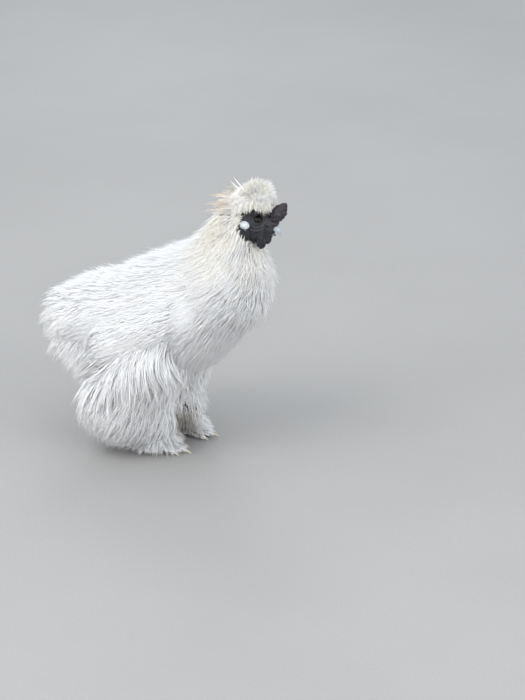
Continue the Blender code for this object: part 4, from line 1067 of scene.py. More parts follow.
wispPlan = {
    "tufts": 90,
    "root": (-0.020, 0.017, 0.012),  # from the skull: behind, half the width, above
    "heading": (-1.0, 0.42, 0.16),
    "length": 0.034,
    "fall": 0.008,
    # of the root backwards and up, the heading aside, the length and the fall
    "strays": (0.004, 0.016, 0.12, 0.009, 0.004, 0.0),
    # the first and last points of the long ones
    "long": (np.array(((0.1136, -0.010, 0.3485), (0.1179, -0.010, 0.3507))),
             np.array(((0.0958, -0.010, 0.3641), (0.1009, -0.010, 0.3690)))),
}


def crestWisps():
    # loose feathers blown back from the rear of the crest, sparse enough to see between
    count = wispPlan["tufts"]
    backward, upward, aside, longer, lower, _ = drawn("crestWisp", wispPlan)
    order = 2.0 * evenly(count) - 1.0
    behind, half, above = wispPlan["root"]
    ahead, outward, up = wispPlan["heading"]
    root = skull + rows(behind + backward, half * order, above + upward)
    heading = unit(rows(ahead, outward * order + aside, up + 16.25 * upward))  # higher ones point up
    travel = heading * (wispPlan["length"] + longer)[:, None]
    tip = root + travel - rows(0.0, 0.0, wispPlan["fall"] + lower)
    path = curved(root, root + 0.55 * travel + (0.0, 0.0, 0.003), tip)
    return path, unit(path - crestPlan["crown"]), rows(0.5, evenly(count))


def longWisps():
    # two long feathers that stand up and back from the crest
    first, last = wispPlan["long"]
    path = curved(first, 0.5 * (first + last) + (-0.001, 0.0, 0.001), last)
    places = evenly(wispPlan["tufts"] + len(first))[-len(first):]
    return path, unit(path - crestPlan["crown"]), rows(0.5, places)


def hanging(names, plan, roots, headings, longer):
    # free feathers: root + heading x length x share, falling by droop x length x share squared, and shaded as
    # the body is there, turned up to the sky by the plan's facingUp
    lengths = plan["length"] * longer
    share = np.linspace(0.0, 1.0, freePoints)[:, None]
    path = roots[:, None] + unit(headings)[:, None] * lengths[:, None, None] * share
    path[..., 2] -= plan["droop"] * lengths[:, None] * share[:, 0] ** 2
    path[..., 2] = np.maximum(path[..., 2], tuftGap)
    outward = aroundBody(names, path.reshape(-1, 3), coreLevel)[1].reshape(path.shape)
    return path, unit(outward + (0.0, 0.0, plan["facingUp"]))


skirtPlan = {
    "tufts": 330,
    "front": np.array((-0.034, 0.0, 0.138)),
    "rear": np.array((-0.118, 0.0, 0.146)),
    "size": (0.066, 0.032),
    "heading": (-0.62, 0.42, -0.62),
    "length": 0.045,
    "droop": 0.42,
    "facingUp": 0.55,
    "narrowing": 0.25,  # of heading and length from front to rear
    "strays": (0.004, 0.10, 0.10, 0.12, 0.25),  # of the root, heading ahead, size, heading up and length
}


def skirtTufts():
    # long saddle and tail feathers that hang over the rear, from both sides of the rump to under the tail
    plan = skirtPlan
    count = plan["tufts"]
    shift, forward, larger, upward, longer = drawn("skirt", plan)
    turn = 0.5 * math.pi * (1.0 + 0.98 * (2.0 * evenly(count) - 1.0))
    share = (np.arange(count) + 0.5) / count
    middle = plan["front"] + share[:, None] * (plan["rear"] - plan["front"])
    size = between(plan["size"], share) * (1.0 + larger)
    roots = middle + rows(shift, size * np.cos(turn), -0.25 * size * np.sin(turn))
    ahead, outer, up = plan["heading"]
    narrower = plan["narrowing"] * share
    headings = rows(ahead + forward - narrower, outer * np.cos(turn) + 0.8 * larger, up + upward)
    path, outward = hanging(("back", "tail"), plan, roots, headings, (0.85 + longer) * (1.0 - narrower))
    return path, outward, rows(share, turn / math.pi)


pocketPlan = {
    "tufts": 150,
    "front": (-0.036, 0.062, 0.137),
    "toRear": (-0.050, -0.022),  # back, and in towards the middle
    "heading": (-0.42, 0.16, -0.85),
    "length": 0.036,
    "droop": 0.20,
    "facingUp": 0.55,
    # of the root aside and up, the heading ahead and aside, and the length
    "strays": (0.008, 0.008, 0.12, 0.10, 0.18),
}


def pocketTufts():
    # fluff that hangs from the flanks of the rump and fills the hollow between the wings' ends and the legs
    plan = pocketPlan
    count = plan["tufts"]
    aside, upward, forward, wider, longer = drawn("pocket", plan)
    side = np.where(np.arange(count) % 2, 1.0, -1.0)
    share = evenly(count)
    frontX, frontY, frontZ = plan["front"]
    backward, inward = plan["toRear"]
    roots = rows(frontX + backward * share, side * (frontY + inward * share + aside), frontZ + upward)
    ahead, outer, up = plan["heading"]
    headings = rows(ahead + forward, side * (outer + wider), up)
    path, outward = hanging(("back", "tail"), plan, roots, headings, 1.0 + longer)
    return path, outward, rows(share, 0.5 + 0.4 * side)


flightPlan = {
    "tufts": 120,
    "from": 0.18,  # along the wing, where 1 is its rear end
    "reach": 1.17,
    "drops": (0.30, 0.80),  # the two tiers, in radii of the wing below its middle
    "turn": (0.80, 0.50),  # radians down from the lie at the front, and less of it to the rear
    "tips": 1.16,
    "length": 0.068,
    "start": 0.6,
    "strays": (0.16, 0.20, 0.10, 0.0),  # of the turn, the level of the tip and the length
}


def flightTufts(label):
    # long shredded flight feathers in two tiers from the lower edge of the wing, back and down over the thigh
    plan = flightPlan
    side = sides[label]
    form = forms["wing" + label]
    count = plan["tufts"]
    turned, higher, longer, _ = drawn("flight", plan)
    share = plan["from"] + plan["reach"] * evenly(count)
    radius = form["skin"][0] + coreLevel * form["coat"][0]
    drop = np.where(np.arange(count) % 2, plan["drops"][1], plan["drops"][0])
    roots = form["start"] + share[:, None] * (form["end"] - form["start"])
    roots = roots + rows(0.0, 0.005 * side, -drop * radius)
    turns = -side * (plan["turn"][0] - plan["turn"][1] * share) + turned
    lengths = plan["length"] * (0.90 + 0.22 * share + longer)
    names = ("back", "breast", "tail", "thigh" + label, "wing" + label)
    path, outward = combed(names, roots, lengths, plan["tips"] + higher, turns, plan["start"])
    return path, outward, rows(share / (plan["from"] + plan["reach"]), drop)


streamPlan = {
    "tufts": 80,
    "from": 0.50,
    "reach": 0.58,
    "middle": -0.25,  # radians up round the wing from its outer side
    "heading": (-0.82, -0.52),  # ahead, up
    "inward": 0.20,
    "length": 0.048,
    "droop": 0.25,
    "facingUp": 0.3,
    # round the wing, of the heading ahead, inwards and up, and of the length
    "strays": (1.15, 0.08, 0.10, 0.12, 0.22),
}


def streamTufts(label):
    # shredded feathers that stream back off the rear end of the wing and close it to the rump
    plan = streamPlan
    side = sides[label]
    form = forms["wing" + label]
    count = plan["tufts"]
    turned, forward, inner, upward, longer = drawn("stream", plan)
    share = plan["from"] + plan["reach"] * evenly(count)
    turn = plan["middle"] + turned
    radius = 0.8 * (form["skin"][1] + form["coat"][1])
    roots = form["start"] + share[:, None] * (form["end"] - form["start"])
    roots = roots + radius * rows(0.0, side * form["wide"] * np.cos(turn), np.sin(turn))
    ahead, up = plan["heading"]
    headings = rows(ahead + forward, -side * (plan["inward"] + inner), up + upward)
    path, outward = hanging(("back", "tail", "wing" + label), plan, roots, headings, 1.0 + longer)
    return path, outward, rows(share / 1.1, 0.5 + 0.3 * turned / plan["strays"][0])


toePlan = {
    # bearing from straight ahead towards the midline, flesh length, base radius, tip radius, claw length
    "inner": (14.0, 0.033, 0.0048, 0.0033, 0.011),
    "middle": (-6.0, 0.040, 0.0050, 0.0034, 0.012),
    "outer": (-24.0, 0.033, 0.0046, 0.0032, 0.011),
    "hind": (158.0, 0.021, 0.0042, 0.0031, 0.009),
    "extra": (128.0, 0.019, 0.0038, 0.0028, 0.011),
}
footPlan = {
    "pad": (0.003, 0.0, -0.0098),  # from the ankle
    "padSize": (0.0098, 0.0093, 0.0063),
    "ankle": (0.0066, 0.0064),
    "toeHeight": 0.80,  # of a toe's middle line, in its radii
    "extraLift": 0.018,  # how far the fifth toe rises
    "scutes": 9.0,  # plates along a toe
    "joints": 3.0,
}


def footPad(label):
    # the middle of the pad under the ankle
    return anklePlace[label] + footPlan["pad"]


def toeLine(label, toe, share):
    # centre line and radius along a toe, 0 at the pad and 1 at the claw
    bearing, length, base, tip, _ = toePlan[toe]
    bearing = math.radians(bearing)
    forward = np.array((math.cos(bearing), -sides[label] * math.sin(bearing), 0.0))
    radius = between((base, tip), share)
    path = footPad(label) + forward * length * share[:, None]
    path[:, 2] = footPlan["toeHeight"] * radius
    if toe == "extra":
        path[:, 2] = 0.006 + footPlan["extraLift"] * share**1.4
    return path, radius, forward


footCoat = {
    "tufts": 130,
    "length": 0.030,
    "bearings": (30.0, -172.0),  # degrees from straight ahead, towards the outer side
    "rise": 0.020,
    "ahead": 0.012,  # how much longer the ones over the toes are
    "frontWidth": 0.60,  # radians
    # of the bearing, the root's height, the reach and the tip's height
    "strays": (0.08, 0.5, 0.20, 0.004, 0.0),
}
toeCoat = {
    "toes": ("inner", "middle", "outer"),
    "tufts": 3 * 13,
    "from": (0.10, 0.92),
    "length": 0.012,
    "lean": 0.35,
    "strays": (0.25, 0.003, 0.0015),  # of the lean, the length and the tip's height
}


def footTufts(label):
    # feathers that leave the ankle, arch over the toes and the foot's outer side and end at the floor
    plan = footCoat
    count = plan["tufts"]
    aside, upward, longer, higher, _ = drawn("foot", plan)
    order = evenly(count)
    bearing = between(np.radians(plan["bearings"]), order) + aside
    forward = rows(np.cos(bearing), -sides[label] * np.sin(bearing), 0.0)
    height = 0.5 + upward
    root = footPad(label) + forward * (0.004 + 0.003 * (1.0 - height))[:, None]
    root[:, 2] = 0.005 + plan["rise"] * height
    front = np.exp(-((bearing / plan["frontWidth"]) ** 2))
    outer = np.sin(np.clip(-bearing, 0.0, math.pi))
    reach = plan["length"] * (0.76 + longer + 0.28 * outer) + plan["ahead"] * front
    tip = root + forward * reach[:, None]
    tip[:, 2] = 0.0020 + (0.006 + 0.005 * height) * front + np.abs(higher)
    path = curved(root, 0.5 * (root + tip) + rows(0.0, 0.0, 0.006 + 0.006 * height), tip)
    outward = np.repeat(unit(0.5 * forward + (0.0, 0.0, 1.0))[:, None], path.shape[1], axis=1)
    return path, outward, rows(order, height)


def toeTufts(label):
    # short feathers in rows along the three front toes, which lie forward and hang over their sides
    plan = toeCoat
    draws = drawn("toe", plan).reshape(len(plan["strays"]), len(plan["toes"]), -1)
    count = draws.shape[-1]
    share = np.linspace(*plan["from"], count)
    found = []
    for number, toe in enumerate(plan["toes"]):
        leaning, longer, higher = draws[:, number]
        line, radius, forward = toeLine(label, toe, share)
        across = np.array((-forward[1], forward[0], 0.0))
        lean = np.where(np.arange(count) % 2, 1.0, -1.0) * (plan["lean"] + leaning)
        root = line + across * (0.6 * lean * radius)[:, None] + rows(0.0, 0.0, 0.7 * radius)
        heading = unit(forward + lean[:, None] * across)
        tip = root + heading * (plan["length"] + longer)[:, None]
        tip[:, 2] = 0.0030 + np.abs(higher)
        path = curved(root, 0.5 * (root + tip) + (0.0, 0.0, 0.0028), tip)
        outward = unit(path - line[:, None] + (0.0, 0.0, 0.004))
        found.append((path, outward, rows((number + 0.2 + 0.6 * (lean > 0.0)) / 3.0, share)))
    return [np.concatenate(part) for part in zip(*found)]


bibPlan = {
    "tufts": 90,
    "place": (-0.010, 0.0085, -0.0265),  # from the skull: how far back they go, half the width, height
    "heading": (0.32, 0.45, -0.85),
    "length": 0.030,
    "droop": 0.45,
    "facingUp": 0.0,
    "strays": (0.12, 0.10, 0.20, 0.0, 0.0),  # of the heading ahead and aside, and of the length
}


def bibTufts():
    # throat feathers that start under the wattles and fall over the breast
    plan = bibPlan
    count = plan["tufts"]
    forward, aside, longer, _, _ = drawn("bib", plan)
    order = 2.0 * evenly(count) - 1.0
    share = (np.arange(count) + 0.5) / count
    backward, half, height = plan["place"]
    roots = skull + rows(backward * share - 0.004 * order**2, half * order, height - 0.006 * share)
    ahead, outer, up = plan["heading"]
    headings = rows(ahead + forward, outer * order + aside, up)
    path, outward = hanging(("neck", "breast"), plan, roots, headings, 1.0 + longer)
    return path, outward, rows(share, 0.5 + 0.5 * order)


tones = plumageTones()
pebbles = pebbleGroup()
plumage = plumageMaterial("whitePlumage", tones)


def addCoat():
    # the loose plumage, one piece for each region; down lies over the whole of its piece's map
    bodyGroup = ("back", "breast", "neck", "tail", "thighright", "thighleft")
    neckGroup = ("back", "breast", "neck")
    for name in ("back", "breast"):
        coat = [strandsOn(name, tuftsOn(name, bodyGroup), softStyle), downOn(name, bodyGroup)]
        coatPiece("coat" + name.capitalize(), plumage, "body_plumage", coat)
    neck = [
        strandsOn("neck", tuftsOn("neck", neckGroup, behindFace), softStyle, 0.0, 0.8),
        strandsOn("bib", bibTufts(), bibStyle, 0.8, 1.0),
        downOn("neck", neckGroup, behindFace),
    ]
    neck += [strandsOn("edge" + label, edgeTufts(label), edgeStyle, 0.8, 1.0) for label in sides]
    coatPiece("coatNeck", plumage, "neck_plumage", neck)
    crest = [
        strandsOn("crest", crestTufts(), crestStyle),
        strandsOn("crestWisp", crestWisps(), looseStyle),
        strandsOn("crestLong", longWisps(), longStyle),
        strandsOn("crown", crownDown(), crownDownStyle),
    ]
    coatPiece("coatCrest", plumage, "crest_plumage", crest)
    tail = [
        strandsOn("tail", tuftsOn("tail", ("back", "tail")), wispStyle, 0.0, 0.6),
        strandsOn("pocket", pocketTufts(), pocketStyle, 0.6, 0.8),
        strandsOn("skirt", skirtTufts(), skirtStyle, 0.8, 1.0),
    ]
    coatPiece("coatTail", plumage, "tail_plumage", tail)
    for label, side in sides.items():
        thigh, shank, wing = "thigh" + label, "shank" + label, "wing" + label
        group = ("back", "breast", thigh, shank)
        legs = [
            strandsOn("thigh", tuftsOn(thigh, group, legSide=side), legStyle, 0.0, 0.4),
            strandsOn("shank", tuftsOn(shank, group, legSide=side), legStyle, 0.4, 0.8),
            strandsOn("foot", footTufts(label), footStyle, 0.8, 0.9),
            strandsOn("toe", toeTufts(label), toeStyle, 0.9, 1.0),
            downOn(thigh, group, legSide=side),
            downOn(shank, group, legSide=side),
        ]
        coatPiece("coatLeg" + label.capitalize(), plumage, "leg_plumage", legs)
        wings = [
            strandsOn("wing", tuftsOn(wing, ("back", "breast", wing), midWing), softStyle, 0.0, 0.6),
            strandsOn("flight", flightTufts(label), flightStyle, 0.6, 0.8),
            strandsOn("stream", streamTufts(label), streamStyle, 0.8, 1.0),
        ]
        coatPiece("coatWing" + label.capitalize(), plumage, "wing_plumage", wings)


# the skin

headPlan = {
    # two tapered capsules: the ends with their radii, and the width against the height
    "capsules": (
        ((skull + (-0.0100, 0.0, 0.0015), 0.0190), (skull + (0.0095, 0.0, -0.0015), 0.0158), 0.94),
        ((skull + (-0.0060, 0.0, -0.0125), 0.0140), (skull + (0.0090, 0.0, -0.0120), 0.0120), 0.85),
    ),
    "softness": 0.0016,
    "grid": (150, 260),
}
# the crest's lower edge over the face: x, z
crestEdge = ((0.105, 0.3200), (0.1193, 0.3278), (0.1322, 0.3318), (0.1417, 0.3252), (0.1470, 0.3195),
             (0.1520, 0.3145))
# the rear edge of the bare face, from under the crest to the wattles: x, z
faceEdge = np.array(((0.1165, 0.3225), (0.1105, 0.3135), (0.1115, 0.2992), (0.1200, 0.2922),
                     (0.1250, 0.2835)))
edgePlan = {
    "tufts": 120,
    "depth": 0.0050,
    "length": 0.013,
    "across": (0.003, 0.030),  # the least and the greatest distance from the bird's middle
    "strays": (0.14, 0.12, 0.25, 0.0),  # of the heading ahead and aside, and of the length
}
eyePlan = {"centre": skull + (0.0070, 0.0112, 0.0065), "radius": 0.0054, "grid": (40, 64)}
lobePlan = {"centre": skull + (-0.0090, 0.0173, -0.0005), "size": (0.0057, 0.0036, 0.0047)}
wattlePlan = {"root": skull + (0.0103, 0.0085, -0.0155), "size": (0.0078, 0.0036, 0.0088), "middle": -0.0050,
              "grid": (48, 72)}
combPlan = {
    "base": skull + (0.0235, 0.0, 0.0065),
    "top": skull + (0.0330, 0.0, 0.0205),
    "radius": 0.0088,
    "wide": 1.15,
    "knobs": 46,
    "knobHeight": 0.0012,
    "knobRadius": 0.0019,
    "groove": (0.0006, 0.0005),  # depth and width of the grooves between knobs
    # how wide it is along its length
    "shares": (0.0, 0.3, 0.6, 0.85, 1.0),
    "widths": (0.88, 0.84, 0.98, 0.78, 0.52),
    "grid": (90, 120),
    "flesh": (0.0098, 0.0108),  # radii inside which skin has the comb's colour
}
# the flesh between comb and beak
knobPlan = {"centre": skull + (0.0240, 0.0, 0.0010), "size": (0.0046, 0.0078, 0.0043)}


def softCapsule(points, start, end, wide):
    # distance outside a tapered capsule squeezed along Y
    axis = end[0] - start[0]
    share = np.clip((points - start[0]) @ axis / (axis @ axis), 0.0, 1.0)
    away = (points - start[0] - share[..., None] * axis) / np.array((1.0, wide, 1.0))
    return np.linalg.norm(away, axis=-1) - between((start[1], end[1]), share)


def headDistance(points):
    # skull and throat joined by a soft minimum
    distances = np.stack([softCapsule(points, *capsule) for capsule in headPlan["capsules"]])
    nearest = distances.min(axis=0)
    soft = headPlan["softness"]
    return nearest - soft * np.log(np.exp(-(distances - nearest) / soft).sum(axis=0))


def edgeTufts(label):
    # short feathers that start along the rear edge of the bare face and lie back over the neck
    side, count = sides[label], edgePlan["tufts"]
    strays = drawn("edge" + label, edgePlan)
    share = (np.arange(count) + 0.5) / count
    stations = np.arange(len(faceEdge))
    edgeX, edgeZ = (np.interp(share * stations[-1], stations, faceEdge[:, axis]) for axis in (0, 1))
    behind = edgePlan["depth"] * evenly(count)
    inner, outer = edgePlan["across"]
    roots = rows(edgeX - 0.9 * behind, outer * side, edgeZ - 0.2 * behind)
    for _ in range(16):
        roots[:, 1] = side * np.clip(side * roots[:, 1] - headDistance(roots), inner, outer)
    onHead = headDistance(roots) < 0.001
    roots, share, behind = roots[onHead], share[onHead], behind[onHead]
    forward, wider, longer, _ = strays[:, onHead]
    outward = np.array((-0.25, side, 0.0))
    heading = unit(rows(-0.80 + 0.30 * share + forward, side * (0.42 + wider), -0.30 - 0.60 * share))
    travel = heading * (edgePlan["length"] * (1.0 + longer))[:, None]
    path = curved(roots - 0.0012 * outward, roots + 0.5 * travel + 0.0016 * outward, roots + travel)
    return path, 0.0 * path + unit(outward), rows(share, behind / edgePlan["depth"])


def headSurface():
    # rays from the skull's middle, each stopped where the head's distance is nothing; the rings turn about Y
    ways = waysRound(headPlan["grid"], 1)
    reach = np.full(len(ways), 0.018)
    for _ in range(14):
        reach = reach - 0.9 * headDistance(skull + ways * reach[:, None])
    reach = reach + faceFolds(skull + ways * reach[:, None])
    return ballSurface("head", skull + ways * reach[:, None], headPlan["grid"])


# creases of the face as lines seen from the side: ahead and up from the middle of the skull
faceCreases = (
    ((0.0200, -0.0062), (0.0091, -0.0150), (0.0000, -0.0225)),
    ((-0.0025, -0.0045), (-0.0052, -0.0120), (-0.0032, -0.0205)),
    ((0.0135, -0.0022), (0.0050, -0.0052), (-0.0020, -0.0040)),
    ((0.0065, -0.0085), (0.0012, -0.0140), (0.0010, -0.0200)),
    ((0.0150, 0.0010), (0.0190, -0.0010), (0.0215, -0.0045)),
)
# height, distance from the line or the eye, and width of each hollow and swelling
creaseRidges = ((-0.0010, 0.0, 0.0008), (0.0005, 0.0020, 0.0010))
eyeRidges = ((-0.0008, 0.0074, 0.0014), (0.0004, 0.0098, 0.0013))


def nearLine(flat, line):
    # the distance of flat points from a line of straight pieces
    nearest = np.full(len(flat), 1.0)
    for first, last in zip(line, line[1:]):
        first, axis = np.array(first), np.array(last) - np.array(first)
        share = np.clip((flat - first) @ axis / (axis @ axis), 0.0, 1.0)
        nearest = np.minimum(nearest, np.linalg.norm(flat - first - share[:, None] * axis, axis=1))
    return nearest


def ridged(away, ridges):
    # the sum of height x exp(-((away - distance) / width)^2)
    return sum(height * np.exp(-(((away - distance) / width) ** 2)) for height, distance, width in ridges)


def faceFolds(points):
    # hollow round the eye, brow, cheek and creases that run down and back from the corner of the mouth
    lift = np.zeros(len(points))
    flat = points[:, (0, 2)] - skull[[0, 2]]
    wavy = flat + 0.0004 * np.sin(700.0 * points[:, (2, 0)])
    fromEye = flat - (eyePlan["centre"] - skull)[[0, 2]]
    fromMouth = flat - (0.0125, -0.0115)
    distance = np.linalg.norm(fromMouth, axis=1)
    bearing = np.arctan2(fromMouth[:, 1], -fromMouth[:, 0])
    crease = np.cos(9.0 * bearing + 260.0 * distance) * ease(0.002, 0.006, distance)
    folds = ridged(np.linalg.norm(fromEye, axis=1), eyeRidges)
    folds += sum(ridged(nearLine(wavy, line), creaseRidges) for line in faceCreases)
    folds += 0.00035 * crease * (1.0 - ease(0.016, 0.024, distance))
    for side in sides.values():
        lift += ease(-0.002, 0.004, side * points[:, 1]) * folds
    ahead, up = points[:, 0], points[:, 2]
    return lift + 0.00012 * np.sin(2300.0 * ahead + 2.0 * np.sin(900.0 * up)) * np.sin(1900.0 * up)


def lidRing(side):
    # a ring round the eye: a round roll that hugs the ball, open in an ellipse with a corner at each end
    eye = onSide(eyePlan["centre"], side)
    turn = around(96)
    flat = rows((0.0043 + 0.0010 * np.abs(np.cos(turn)) ** 6) * np.cos(turn), 0.0,
                (0.0033 - 0.0003 * np.sin(turn)) * np.sin(turn))
    away = np.linalg.norm(flat, axis=1)
    height = np.sqrt(np.maximum(eyePlan["radius"] ** 2 - np.minimum(away, 0.0053) ** 2, 0.0))
    outward = rows(0.0, side, 0.0 * turn)
    centre = eye + flat + outward * (height + 0.0004)[:, None]
    thick = (0.00088 + 0.00022 * np.clip(np.sin(turn), 0.0, 1.0))[:, None]
    angle = around(16)
    rings = loopsAlong(centre, unit(flat), outward, thick * np.cos(angle), 0.85 * thick * np.sin(angle))
    first = np.arange(rings[..., 0].size).reshape(rings.shape[:2])
    nextRing = np.roll(first, -1, axis=0)
    corners = np.stack((first, np.roll(first, -1, axis=1), np.roll(nextRing, -1, axis=1), nextRing), axis=-1)
    made = makeMesh("lid", rings.reshape(-1, 3), corners.ravel(), np.arange(first.size) * 4)
    normal = np.cross(rings[0, 1] - rings[0, 0], rings[1, 0] - rings[0, 0])
    if np.dot(normal, rings[0, 0] - centre[0]) < 0.0:
        made.data.flip_normals()
    return made


def combSurface():
    # a leaning lump set with rounded knobs: each raises the surface by a bell curve round its direction
    plan = combPlan
    axis = plan["top"] - plan["base"]
    lean, across = unit(axis), np.array((0.0, 1.0, 0.0))
    size = np.array((1.0, plan["wide"], 1.0)) * plan["radius"]
    size[0] += 0.5 * float(np.linalg.norm(axis))
    local = waysRound(plan["grid"], 0) * size
    index = np.arange(plan["knobs"]) + 0.5
    rise = 1.0 - 2.0 * index / plan["knobs"]
    spin = fullTurn * golden * index
    flat = np.sqrt(1.0 - rise**2)
    knobs = rows(rise, flat * np.cos(spin), flat * np.sin(spin)) * size
    nearest = np.sort(np.linalg.norm(local[:, None] - knobs[None], axis=2), axis=1)
    dome = plan["knobHeight"] * np.exp(-((nearest[:, 0] / plan["knobRadius"]) ** 2))
    depth, width = plan["groove"]
    dome -= depth * np.exp(-(((nearest[:, 1] - nearest[:, 0]) / width) ** 2))
    local = local + unit(local) * dome[:, None]
    share = 0.5 + 0.5 * local[:, 0] / size[0]
    local[:, 1:] *= np.interp(share, plan["shares"], plan["widths"])[:, None]
    points = 0.5 * (plan["base"] + plan["top"]) + local @ np.stack((lean, across, np.cross(across, lean)))
    return ballSurface("comb", points, plan["grid"])


def wattleSurface(side):
    # a hanging leaf of flesh, thickest at its lower rim, with folds that run down it
    root = onSide(wattlePlan["root"], side)
    length, depth, height = wattlePlan["size"]
    ways = waysRound(wattlePlan["grid"], 2)
    low = 0.5 - 0.5 * ways[:, 2]
    fold = 0.0011 * np.sin(ways[:, 0] * 8.5 + 1.6 * low) * ease(0.05, 0.4, low)
    points = root + rows(
        ways[:, 0] * length * (0.62 + 0.34 * low) - 0.0012 * low,
        ways[:, 1] * depth * (0.75 + 0.35 * low) + side * fold,
        wattlePlan["middle"] + ways[:, 2] * height * 1.20,
    )
    return ballSurface("wattle", points, wattlePlan["grid"])


def lobeBumps(ways):
    # 1 + two slow waves over the earlobe
    return (1.0 + 0.07 * np.sin(4.0 * ways[:, 0] + 3.0 * ways[:, 2] + 1.0)
            + 0.04 * np.sin(11.0 * ways[:, 2] + 4.0 * ways[:, 0]))


def pathAxes(path, across):
    # at each point of a path its direction, the direction across it, and the one upward from both
    heading = unit(np.gradient(path, axis=0))
    across = np.tile(across, (len(path), 1))
    return heading, across, np.cross(heading, across)


def toeSurface(label, toe):
    # a round profile carried along the toe: swollen at three joints, stepped by plates on its upper side
    share = np.linspace(0.0, 1.0, 64)
    path, radius, forward = toeLine(label, toe, share)
    heading, across, upward = pathAxes(path, (-forward[1], forward[0], 0.0))
    turn = around(24)
    swell = 1.0 + 0.07 * np.cos(fullTurn * footPlan["joints"] * share)
    plate = np.mod(share * footPlan["scutes"], 1.0) - 0.5
    size = radius[:, None] * (swell[:, None] + 0.10 * plate[:, None] * np.clip(np.sin(turn), 0.0, 1.0))
    size[-1] *= 0.80
    rings = loopsAlong(path, across, upward, size * np.cos(turn), size * np.sin(turn))
    rings[..., 2] = np.maximum(rings[..., 2], 0.0)
    ends = path[0] - 0.002 * forward, path[-1] + 0.0006 * heading[-1]
    ends[0][2] = max(ends[0][2], 0.001)
    return closedSurface("toe", rings, ends)


def footParts(label):
    # the pad, cut flat on the floor, the ankle and the toes
    pad = footPad(label)
    pads = blob("pad", pad, footPlan["padSize"])
    points = pointsOf(pads)
    points[:, 2] = np.maximum(points[:, 2], 0.0)
    movePoints(pads, points)
    ankle = capsuleSurface("ankle", pad + (0.0, 0.0, 0.004), anklePlace[label], footPlan["ankle"], capRings=8)
    return [pads, ankle] + [toeSurface(label, toe) for toe in toePlan]


def fleshMasks(points):
    # 0 to 1 for each vertex: bare face, comb, earlobe and foot
    offset = points - faceCorner
    ahead = np.minimum(offset @ faceFacing, offset @ faceRise)
    underCrest = np.interp(points[:, 0], *np.transpose(crestEdge)) - points[:, 2]
    face = ease(-0.0070, -0.0048, ahead) * ease(-0.0022, 0.0002, underCrest)
    ends = zip((combPlan["base"], combPlan["top"]), combPlan["flesh"])
    comb = ease(0.0010, 0.0, softCapsule(points, *ends, combPlan["wide"]))
    lobe = np.zeros(len(points))
    for side in sides.values():
        hung = onSide(wattlePlan["root"], side) + (0.0, 0.0, wattlePlan["middle"])
        near = (points - hung) / (np.array(wattlePlan["size"]) * (1.15, 1.6, 1.32))
        face = np.maximum(face, ease(1.06, 0.98, np.linalg.norm(near, axis=1)))
        near = (points - onSide(lobePlan["centre"], side)) / (np.array(lobePlan["size"]) * 1.12)
        lobe = np.maximum(lobe, ease(1.04, 0.98, np.linalg.norm(near, axis=1)))
    foot = ease(0.040, 0.026, points[:, 2])
    return {"bareFace": face, "combFlesh": comb, "lobeFlesh": lobe, "footFlesh": foot}


def addSkin():
    # one closed skin from all forms, head, comb, wattles, earlobes, lids and feet
    crown, crownRadius = crestPlan["crown"], 0.94 * crestPlan["crownRadius"]
    limbs = [(form["start"], form["end"], form["skin"], form["wide"]) for form in forms.values()]
    limbs += [(forms["shank" + label]["start"], anklePlace[label], (0.0085, 0.0064)) for label in sides]
    limbs.append((crown, crown + (0.0005, 0.0, 0.0005), (crownRadius, crownRadius)))
    limbs.append((forms["neck"]["end"], skull + (-0.008, 0.0, -0.004), (0.0195, 0.0165)))
    trunk = fused("birdSkin", [capsuleSurface("limb", *limb) for limb in limbs], voxel=0.0024)
    parts = [trunk, headSurface(), combSurface(), blob("knob", *knobPlan.values())]
    for label, side in sides.items():
        lobe = blob("lobe", onSide(lobePlan["centre"], side), lobePlan["size"], lobeBumps)
        parts += [lidRing(side), lobe, wattleSurface(side), *footParts(label)]
    skin = fused("birdSkin", parts)
    for name, values in fleshMasks(pointsOf(skin)).items():
        setValues(skin, name, values)
    skin.data.materials.clear()
    skin.data.materials.append(skinMaterial(tones, pebbles))
    skin.data.shade_smooth()
    fleshNodes = ["torso", "neck", "head", "tail", "crest", "comb"]
    for label in sides:
        fleshNodes += [part + "_" + label for part in ("wing", "leg", "foot", "wattle", "earlobe")]
    place(skin, "face_skin", *fleshNodes)
    print("skin", len(skin.data.polygons), "faces")


addCoat()
addSkin()


# eyes, beak and claws

def addEyes():
    # a ball with poles at its sides and a slightly raised clear front
    material = eyeMaterial()
    ways = waysRound(eyePlan["grid"], 1)
    for label, side in sides.items():
        angle = np.arccos(np.clip(ways @ unit((0.22, side, 0.05)), -1.0, 1.0))
        reach = eyePlan["radius"] * (1.0 + 0.05 * np.exp(-((angle / 0.55) ** 2)))
        points = onSide(eyePlan["centre"], side) + ways * reach[:, None]
        eye = ballSurface("eye" + label.capitalize(), points, eyePlan["grid"], material)
        setValues(eye, "fromPupil", angle)
        place(eye, "eye", "eye_" + label)


# stations along each half of the beak: middle line from the skull, half height and half width, and how
# pale the horn is
beakPlan = {
    "upper": {
        "line": ((0.0120, 0.0, -0.0035), (0.0165, 0.0, -0.0045), (0.0225, 0.0, -0.0052),
                 (0.0283, 0.0, -0.0088), (0.0310, 0.0, -0.0152)),
        "height": (0.0060, 0.0062, 0.0052, 0.0036, 0.0005),
        "width": (0.0062, 0.0064, 0.0054, 0.0036, 0.0005),
        "pale": 1.0,
    },
    "lower": {
        "line": ((0.0115, 0.0, -0.0112), (0.0155, 0.0, -0.0118), (0.0208, 0.0, -0.0128),
                 (0.0250, 0.0, -0.0146)),
        "height": (0.0040, 0.0040, 0.0030, 0.0008),
        "width": (0.0056, 0.0056, 0.0044, 0.0010),
        "pale": 0.25,
    },
}
nostrilPlan = {"centre": skull + (0.0205, 0.0052, -0.0030), "size": (0.0019, 0.0030, 0.0009), "depth": 0.0016}


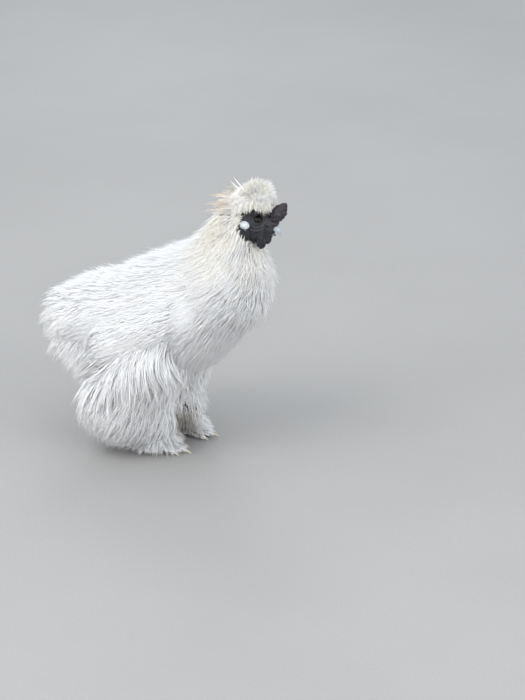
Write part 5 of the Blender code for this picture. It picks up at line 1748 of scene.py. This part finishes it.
def smoothLine(stations, count):
    # a line through the stations in cubic pieces, with the slopes of their neighbours
    stations = np.asarray(stations, float).reshape(len(stations), -1)
    slopes = np.gradient(stations, axis=0)
    spot = np.linspace(0.0, len(stations) - 1.0, count)
    low = np.minimum(spot.astype(int), len(stations) - 2)
    t = (spot - low)[:, None]
    first, second = stations[low], stations[low + 1]
    return (
        (2 * t**3 - 3 * t**2 + 1) * first + (t**3 - 2 * t**2 + t) * slopes[low]
        + (3 * t**2 - 2 * t**3) * second + (t**3 - t**2) * slopes[low + 1]
    )


def addBeak():
    # a profile carried along the beak's line: a keeled arch outside, flat on the biting side
    material = beakMaterial()
    turn, count = around(48), 72
    for half, plan in beakPlan.items():
        path = smoothLine(skull + np.array(plan["line"]), count)
        tall, wide = (np.maximum(smoothLine(plan[key], count), 0.0004) for key in ("height", "width"))
        heading, across, upward = pathAxes(path, (0.0, 1.0, 0.0))
        upward = upward * np.where(upward[:, 2:3] < 0.0, -1.0, 1.0)
        sign = 1.0 if half == "upper" else -1.0
        lift = sign * np.sin(turn)
        arch = np.clip(lift, 0.0, 1.0)
        flat = np.where(lift < 0.0, 0.62, 1.0)
        outer = wide * np.cos(turn) * (1.0 - 0.10 * arch)
        rings = loopsAlong(path, across, upward, outer, sign * tall * lift * (1.0 + 0.10 * arch**6) * flat)
        if half == "upper":
            for side in sides.values():
                away = (rings - onSide(nostrilPlan["centre"], side)) / nostrilPlan["size"]
                dent = nostrilPlan["depth"] * np.exp(-np.sum(away**2, axis=-1))
                rings = rings - dent[..., None] * np.array((0.0, side, 0.0))
        ends = path[0], path[-1] + 0.0003 * heading[-1]
        piece = closedSurface("beak" + half.capitalize(), rings, ends, material)
        setValues(piece, "paleness", np.full(len(piece.data.vertices), plan["pale"]))
        place(piece, "beak_horn", "beak_" + half)


def addClaws():
    # a round profile that shrinks along a curve bent down to the floor
    material = clawMaterial()
    share, turn = np.linspace(0.0, 1.0, 36), around(24)
    for label in sides:
        for toe in toePlan:
            path, radius, forward = toeLine(label, toe, np.array((0.9, 1.0)))
            length = toePlan[toe][4]
            line = path[-1] + forward * length * (share[:, None] - 0.06)
            bent = path[-1][2] + 0.10 * length * np.sin(math.pi * share) - 0.20 * length * share**2
            line[:, 2] = np.maximum(bent, 0.0012)
            size = (radius[-1] * 0.80 * (1.0 - 0.90 * share**1.15))[:, None]
            heading, across, upward = pathAxes(line, (-forward[1], forward[0], 0.0))
            rings = loopsAlong(line, across, upward, 0.78 * size * np.cos(turn), size * np.sin(turn))
            rings[..., 2] = np.maximum(rings[..., 2], 0.0003)
            ends = line[0], line[-1] + 0.0004 * heading[-1]
            claw = closedSurface("claw" + toe.capitalize() + label.capitalize(), rings, ends, material)
            place(claw, "claw_horn", "claw_" + toe + "_" + label)


addEyes()
addBeak()
addClaws()
print("eyes, beak and claws")
